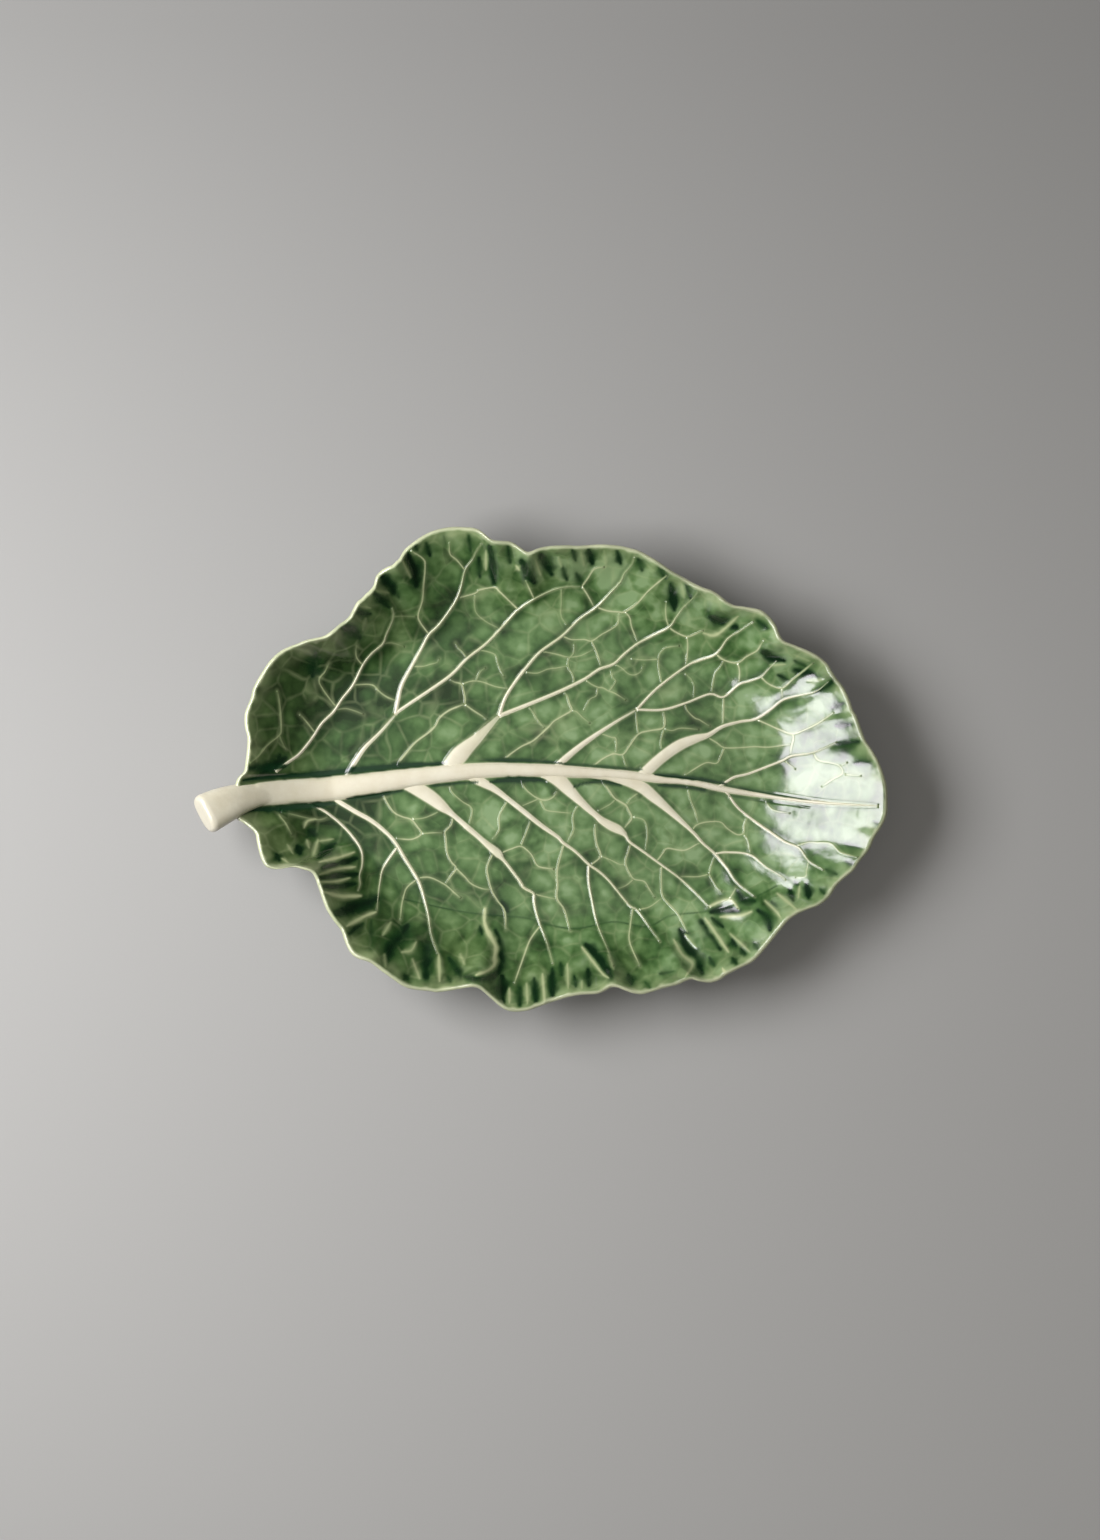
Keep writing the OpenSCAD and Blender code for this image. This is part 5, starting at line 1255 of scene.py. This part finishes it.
class Nodes:
    """Short hand for building one material's nodes."""

    def __init__(self, name):
        self.material = bpy.data.materials.new(name)
        self.material.use_nodes = True
        self.tree = self.material.node_tree
        self.tree.nodes.clear()
        self.place = self.add("ShaderNodeTexCoord").outputs["Object"]

    def add(self, kind, **settings):
        node = self.tree.nodes.new(kind)
        for key, value in settings.items():
            if key in node.inputs.keys():
                node.inputs[key].default_value = value
            else:
                setattr(node, key, value)
        return node

    def put(self, value, socket):
        """Sets a socket to a number or colour, or links it."""
        if isinstance(value, tuple):
            socket.default_value = rgba(value)
        elif isinstance(value, (int, float)):
            socket.default_value = value
        else:
            self.tree.links.new(value, socket)

    def field(self, name):
        return self.add("ShaderNodeAttribute", attribute_name=name).outputs["Fac"]

    def maths(self, operation, first, second, clamp=False):
        node = self.add("ShaderNodeMath", operation=operation, use_clamp=clamp)
        self.put(first, node.inputs[0])
        self.put(second, node.inputs[1])
        return node.outputs[0]

    def times(self, first, second, clamp=False):
        return self.maths("MULTIPLY", first, second, clamp)

    def plus(self, first, second, clamp=False):
        return self.maths("ADD", first, second, clamp)

    def swing(self, value, amount):
        """A noise value about 0.5 turned into one about 0."""
        return self.times(self.maths("SUBTRACT", value, 0.5), amount)

    def mix(self, factor, first, second, blend="MIX"):
        node = self.add("ShaderNodeMix", data_type="RGBA", blend_type=blend)
        for value, socket in ((factor, node.inputs[0]), (first, node.inputs[6]), (second, node.inputs[7])):
            self.put(value, socket)
        return node.outputs[2]

    def ramp(self, factor, stops):
        node = self.add("ShaderNodeValToRGB")
        elements = node.color_ramp.elements
        elements[0].position, elements[0].color = stops[0][0], rgba(stops[0][1])
        elements[1].position, elements[1].color = stops[-1][0], rgba(stops[-1][1])
        for position, colour in stops[1:-1]:
            elements.new(position).color = rgba(colour)
        self.put(factor, node.inputs["Fac"])
        return node.outputs["Color"]

    def noise(self, scale, detail=2.0, roughness=0.5, warp=0.0):
        node = self.add("ShaderNodeTexNoise", Scale=scale, Detail=detail, Roughness=roughness,
                        Distortion=warp)
        self.put(self.place, node.inputs["Vector"])
        return node.outputs["Fac"]

    def web(self, scale):
        """Cells between the finest veins: their thin lines, where glaze is deeper, and a shade for each."""
        shift = self.add("ShaderNodeTexNoise", Scale=scale * 0.9, Detail=1.0)
        self.put(self.place, shift.inputs["Vector"])
        moved = self.add("ShaderNodeVectorMath", operation="SCALE", Scale=0.40 / scale)
        self.put(shift.outputs["Color"], moved.inputs[0])
        place = self.add("ShaderNodeVectorMath", operation="ADD")
        self.put(self.place, place.inputs[0])
        self.put(moved.outputs[0], place.inputs[1])
        cells = self.add("ShaderNodeTexVoronoi", feature="DISTANCE_TO_EDGE", Scale=scale)
        self.put(place.outputs[0], cells.inputs["Vector"])
        lines = self.ramp(cells.outputs["Distance"], [(0.0, WHITE), (0.09, BLACK)])
        low = self.ramp(cells.outputs["Distance"], [(0.05, WHITE), (0.34, BLACK)])
        fills = self.add("ShaderNodeTexVoronoi", feature="F1", Scale=scale)
        self.put(place.outputs[0], fills.inputs["Vector"])
        shade = self.add("ShaderNodeSeparateColor")
        self.put(fills.outputs["Color"], shade.inputs[0])
        return lines, low, shade.outputs[0]

    def finish(self, colour, roughness, height=None, distance=0.0005, strength=1.0, ior=1.5, painted_fill=0.0):
        """The surface, with its relief given in shares of a distance in metres."""
        shader = self.add("ShaderNodeBsdfPrincipled", IOR=ior)
        shader.inputs["Specular Tint"].default_value = rgba(SHINE_TINT)
        # Painted fill light: the surface glows though it is no lamp
        if painted_fill:
            shader.inputs["Emission Color"].default_value = rgba(FLOOR_PAINTED_FILL_COLOUR)
            shader.inputs["Emission Strength"].default_value = painted_fill
        self.put(colour, shader.inputs["Base Color"])
        self.put(roughness, shader.inputs["Roughness"])
        if height is not None:
            bump = self.add("ShaderNodeBump", Strength=strength, Distance=distance)
            self.put(height, bump.inputs["Height"])
            self.put(bump.outputs["Normal"], shader.inputs["Normal"])
        self.put(shader.outputs[0], self.add("ShaderNodeOutputMaterial").inputs[0])
        return self.material


def make_glaze():
    """Green glaze that runs thin and pale over ridges, pools dark in pits, and leaves the veins cream, with
    painted highlight on ridges and rim and painted shade in pools, pits and strokes.
    """
    n = Nodes("cabbage_glaze")
    cloud, mottle, fine, grain = n.noise(*CLOUD), n.noise(*MOTTLE), n.noise(*FINE), n.noise(*GRAIN)
    lines, low, shade = n.web(FINE_WEB)
    # The green: uneven, and more so where it is light
    uneven = n.plus(n.plus(n.swing(cloud, 1.35), n.swing(mottle, 0.85)),
                    n.plus(n.swing(low, -0.14), n.swing(shade, 0.18)))
    uneven = n.times(uneven, n.plus(0.30, n.times(n.field("tone"), 1.35)))
    tone = n.plus(n.plus(n.field("tone"), uneven), n.swing(fine, 0.16), clamp=True)
    green = n.ramp(tone, GREENS)
    brown = n.ramp(tone, OLIVES)
    colour = n.mix(n.times(n.field("olive"), 0.6, clamp=True), green, brown)
    # Thin and pale over ridges and the finest veins, with painted highlight on the ridges
    pale = n.times(n.field("pale"), n.plus(0.72, n.times(mottle, 0.55)), clamp=True)
    some = n.times(n.plus(cloud, -0.32), 2.4, clamp=True)
    pale = n.plus(pale, n.times(lines, n.times(some, 0.34)), clamp=True)
    colour = n.mix(pale, colour, PALE)
    colour = n.mix(n.times(n.plus(n.field("pale"), -0.45), 2.0, clamp=True), colour, CREST_PALE_AND_HIGHLIGHT)
    # Deep in pools and pits, and darkest in the strokes beside the midrib: pooled glaze with painted shade
    pool = n.plus(n.field("pool"), n.times(n.swing(mottle, 1.1), n.field("pool")), clamp=True)
    colour = n.mix(n.times(pool, 1.10, clamp=True), colour, DEEP_POOL_AND_SHADE)
    colour = n.mix(n.times(n.plus(pool, -0.35), 1.7, clamp=True), colour, PIT_POOL_AND_SHADE)
    colour = n.mix(n.times(n.field("stroke"), 1.15, clamp=True), colour, STROKE_POOL_AND_SHADE)
    # The pale rim: thin glaze with a painted highlight along it
    edge = n.times(n.field("rim"), n.plus(0.45, n.times(cloud, 0.9)), clamp=True)
    colour = n.mix(edge, colour, RIM_PALE_AND_HIGHLIGHT)
    # The cream of the veins and the stalk
    cream = n.ramp(n.noise(*CREAM_CLOUD), [(0.30, CREAM_LOW), (0.70, CREAM)])
    # Painted shade on the stalk's cut end
    cream = n.mix(n.field("cut"), cream, CUT_END_PAINTED_SHADE)
    colour = n.mix(n.times(n.field("core"), n.plus(0.90, n.times(fine, 0.16)), clamp=True), colour, cream)
    # The glaze's own gentle unevenness, less on the cream
    wave = n.plus(n.times(n.noise(*WAVES), 1.0), n.plus(n.times(mottle, 0.30), n.times(fine, 0.10)))
    wave = n.plus(wave, n.times(grain, 0.012))
    wave = n.times(wave, n.maths("SUBTRACT", 1.0, n.times(n.field("core"), 0.85)))
    roughness = n.plus(n.plus(0.13, n.times(grain, 0.04)),
                       n.plus(n.times(n.field("core"), 0.14), n.times(n.field("pale"), 0.11)))
    return n.finish(colour, roughness, wave, 0.00025, 0.8, GLAZE_IOR)


def make_clay():
    """Bare fired clay of the foot, with fine specks, darker towards its standing edge."""
    n = Nodes("bare_clay")
    split = n.add("ShaderNodeSeparateXYZ")
    n.put(n.place, split.inputs[0])
    body = n.ramp(n.noise(90.0, 5.0, 0.65), [(0.3, CLAY_LOW), (0.7, CLAY)])
    specks = n.ramp(n.noise(1500.0), [(0.62, WHITE), (0.72, CLAY_SPECK)])
    colour = n.mix(0.6, body, specks, "MULTIPLY")
    toward_bottom = n.maths("SUBTRACT", 1.0, n.times(split.outputs["Z"], 900.0), clamp=True)
    colour = n.mix(n.times(toward_bottom, 0.5), colour, CLAY_BOTTOM)
    return n.finish(colour, n.plus(0.72, n.times(n.noise(600.0), 0.2)), n.noise(1100.0, 4.0), 0.0003, 0.5)


def make_floor():
    """A plain pale studio floor, with painted shade darkening it towards the back and a faint painted fill
    glow.
    """
    n = Nodes("studio_floor")
    colour = n.ramp(n.noise(2400.0), [(0.3, FLOOR_LOW), (0.7, FLOOR_HIGH)])
    split = n.add("ShaderNodeSeparateXYZ")
    n.put(n.place, split.inputs[0])
    # Painted shade: the floor darkens towards the back, for the window's light falling off
    back = n.plus(n.times(split.outputs["Y"], FLOOR_SHADE_FALLOFF), 0.5, clamp=True)
    back = n.ramp(back, [(0.0, WHITE), (0.5, FLOOR_MIDDLE_SHADE), (1.0, FLOOR_BACK_SHADE)])
    material = n.finish(n.mix(1.0, colour, back, "MULTIPLY"), 0.9, painted_fill=FLOOR_PAINTED_FILL)
    mesh = bpy.data.meshes.new("floor")
    corners = [(x * FLOOR_HALF, y * FLOOR_HALF, 0) for x, y in ((-1, -1), (1, -1), (1, 1), (-1, 1))]
    mesh.from_pydata(corners, [], [(0, 1, 2, 3)])
    floor = bpy.data.objects.new("floor", mesh)
    bpy.context.scene.collection.objects.link(floor)
    floor.data.materials.append(material)


# Light and camera
def make_window():
    """The soft window on the left that lights the scene, and the brighter one that only the glaze mirrors."""
    for name, tilt, away, back, long, wide, power, lights, mirrored in PANES:
        tilt = math.radians(tilt)
        light = bpy.data.lights.new(name, "AREA")
        light.shape = "RECTANGLE"
        light.size, light.size_y, light.energy = long, wide, power
        light.color = WINDOW_COLOUR
        obj = bpy.data.objects.new(name, light)
        obj.visible_diffuse, obj.visible_glossy = lights, mirrored
        place = Vector((-away * math.sin(tilt), back, away * math.cos(tilt)))
        obj.location = place
        obj.rotation_euler = (Vector((0.0, back, 0.0)) - place).to_track_quat("-Z", "X").to_euler()
        bpy.context.scene.collection.objects.link(obj)


def make_room():
    """The room's own light: soft overhead, dark towards the sides."""
    world = bpy.data.worlds.new("room")
    bpy.context.scene.world = world
    world.use_nodes = True
    nodes, links = world.node_tree.nodes, world.node_tree.links
    nodes.clear()
    split = nodes.new("ShaderNodeSeparateXYZ")
    links.new(nodes.new("ShaderNodeTexCoord").outputs["Generated"], split.inputs[0])
    ramp = nodes.new("ShaderNodeValToRGB")
    elements = ramp.color_ramp.elements
    for place, light in ROOM_UP[2:]:
        elements.new(place).color = (light, light, light, 1)
    for element, (place, light) in zip((elements[0], elements[-1]), ROOM_UP[:2]):
        element.position, element.color = place, (light, light, light, 1)
    links.new(split.outputs["Z"], ramp.inputs["Fac"])
    back = nodes.new("ShaderNodeBackground")
    back.inputs["Color"].default_value = rgba(ROOM_COLOUR)
    links.new(ramp.outputs["Color"], back.inputs["Strength"])
    links.new(back.outputs[0], nodes.new("ShaderNodeOutputWorld").inputs[0])


def make_camera():
    """A camera straight above, with the frame of the photograph."""
    camera = bpy.data.cameras.new("camera")
    camera.sensor_width = 36.0
    camera.lens = 36.0 * (CAMERA_HEIGHT - SCALE_HEIGHT) / FRAME_LONG_SIDE
    obj = bpy.data.objects.new("camera", camera)
    obj.location = (CAMERA_X * MM, CAMERA_Y * MM, CAMERA_HEIGHT * MM)
    bpy.context.scene.collection.objects.link(obj)
    bpy.context.scene.camera = obj


# The scene
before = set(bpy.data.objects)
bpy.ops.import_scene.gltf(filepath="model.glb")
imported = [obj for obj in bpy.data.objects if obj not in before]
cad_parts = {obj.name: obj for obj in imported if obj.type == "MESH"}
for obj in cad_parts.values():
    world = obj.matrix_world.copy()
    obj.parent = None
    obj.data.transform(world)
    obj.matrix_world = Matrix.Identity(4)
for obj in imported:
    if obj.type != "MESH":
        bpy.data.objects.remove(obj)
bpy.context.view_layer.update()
bpy.context.scene.view_settings.view_transform = "Standard"
make_camera()
make_window()
make_room()
make_floor()
glaze = make_glaze()
make_leaf(glaze)
make_veins(glaze)
make_stalk(glaze)
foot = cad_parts["foot_ring"]
foot.data.materials.clear()
foot.data.materials.append(make_clay())
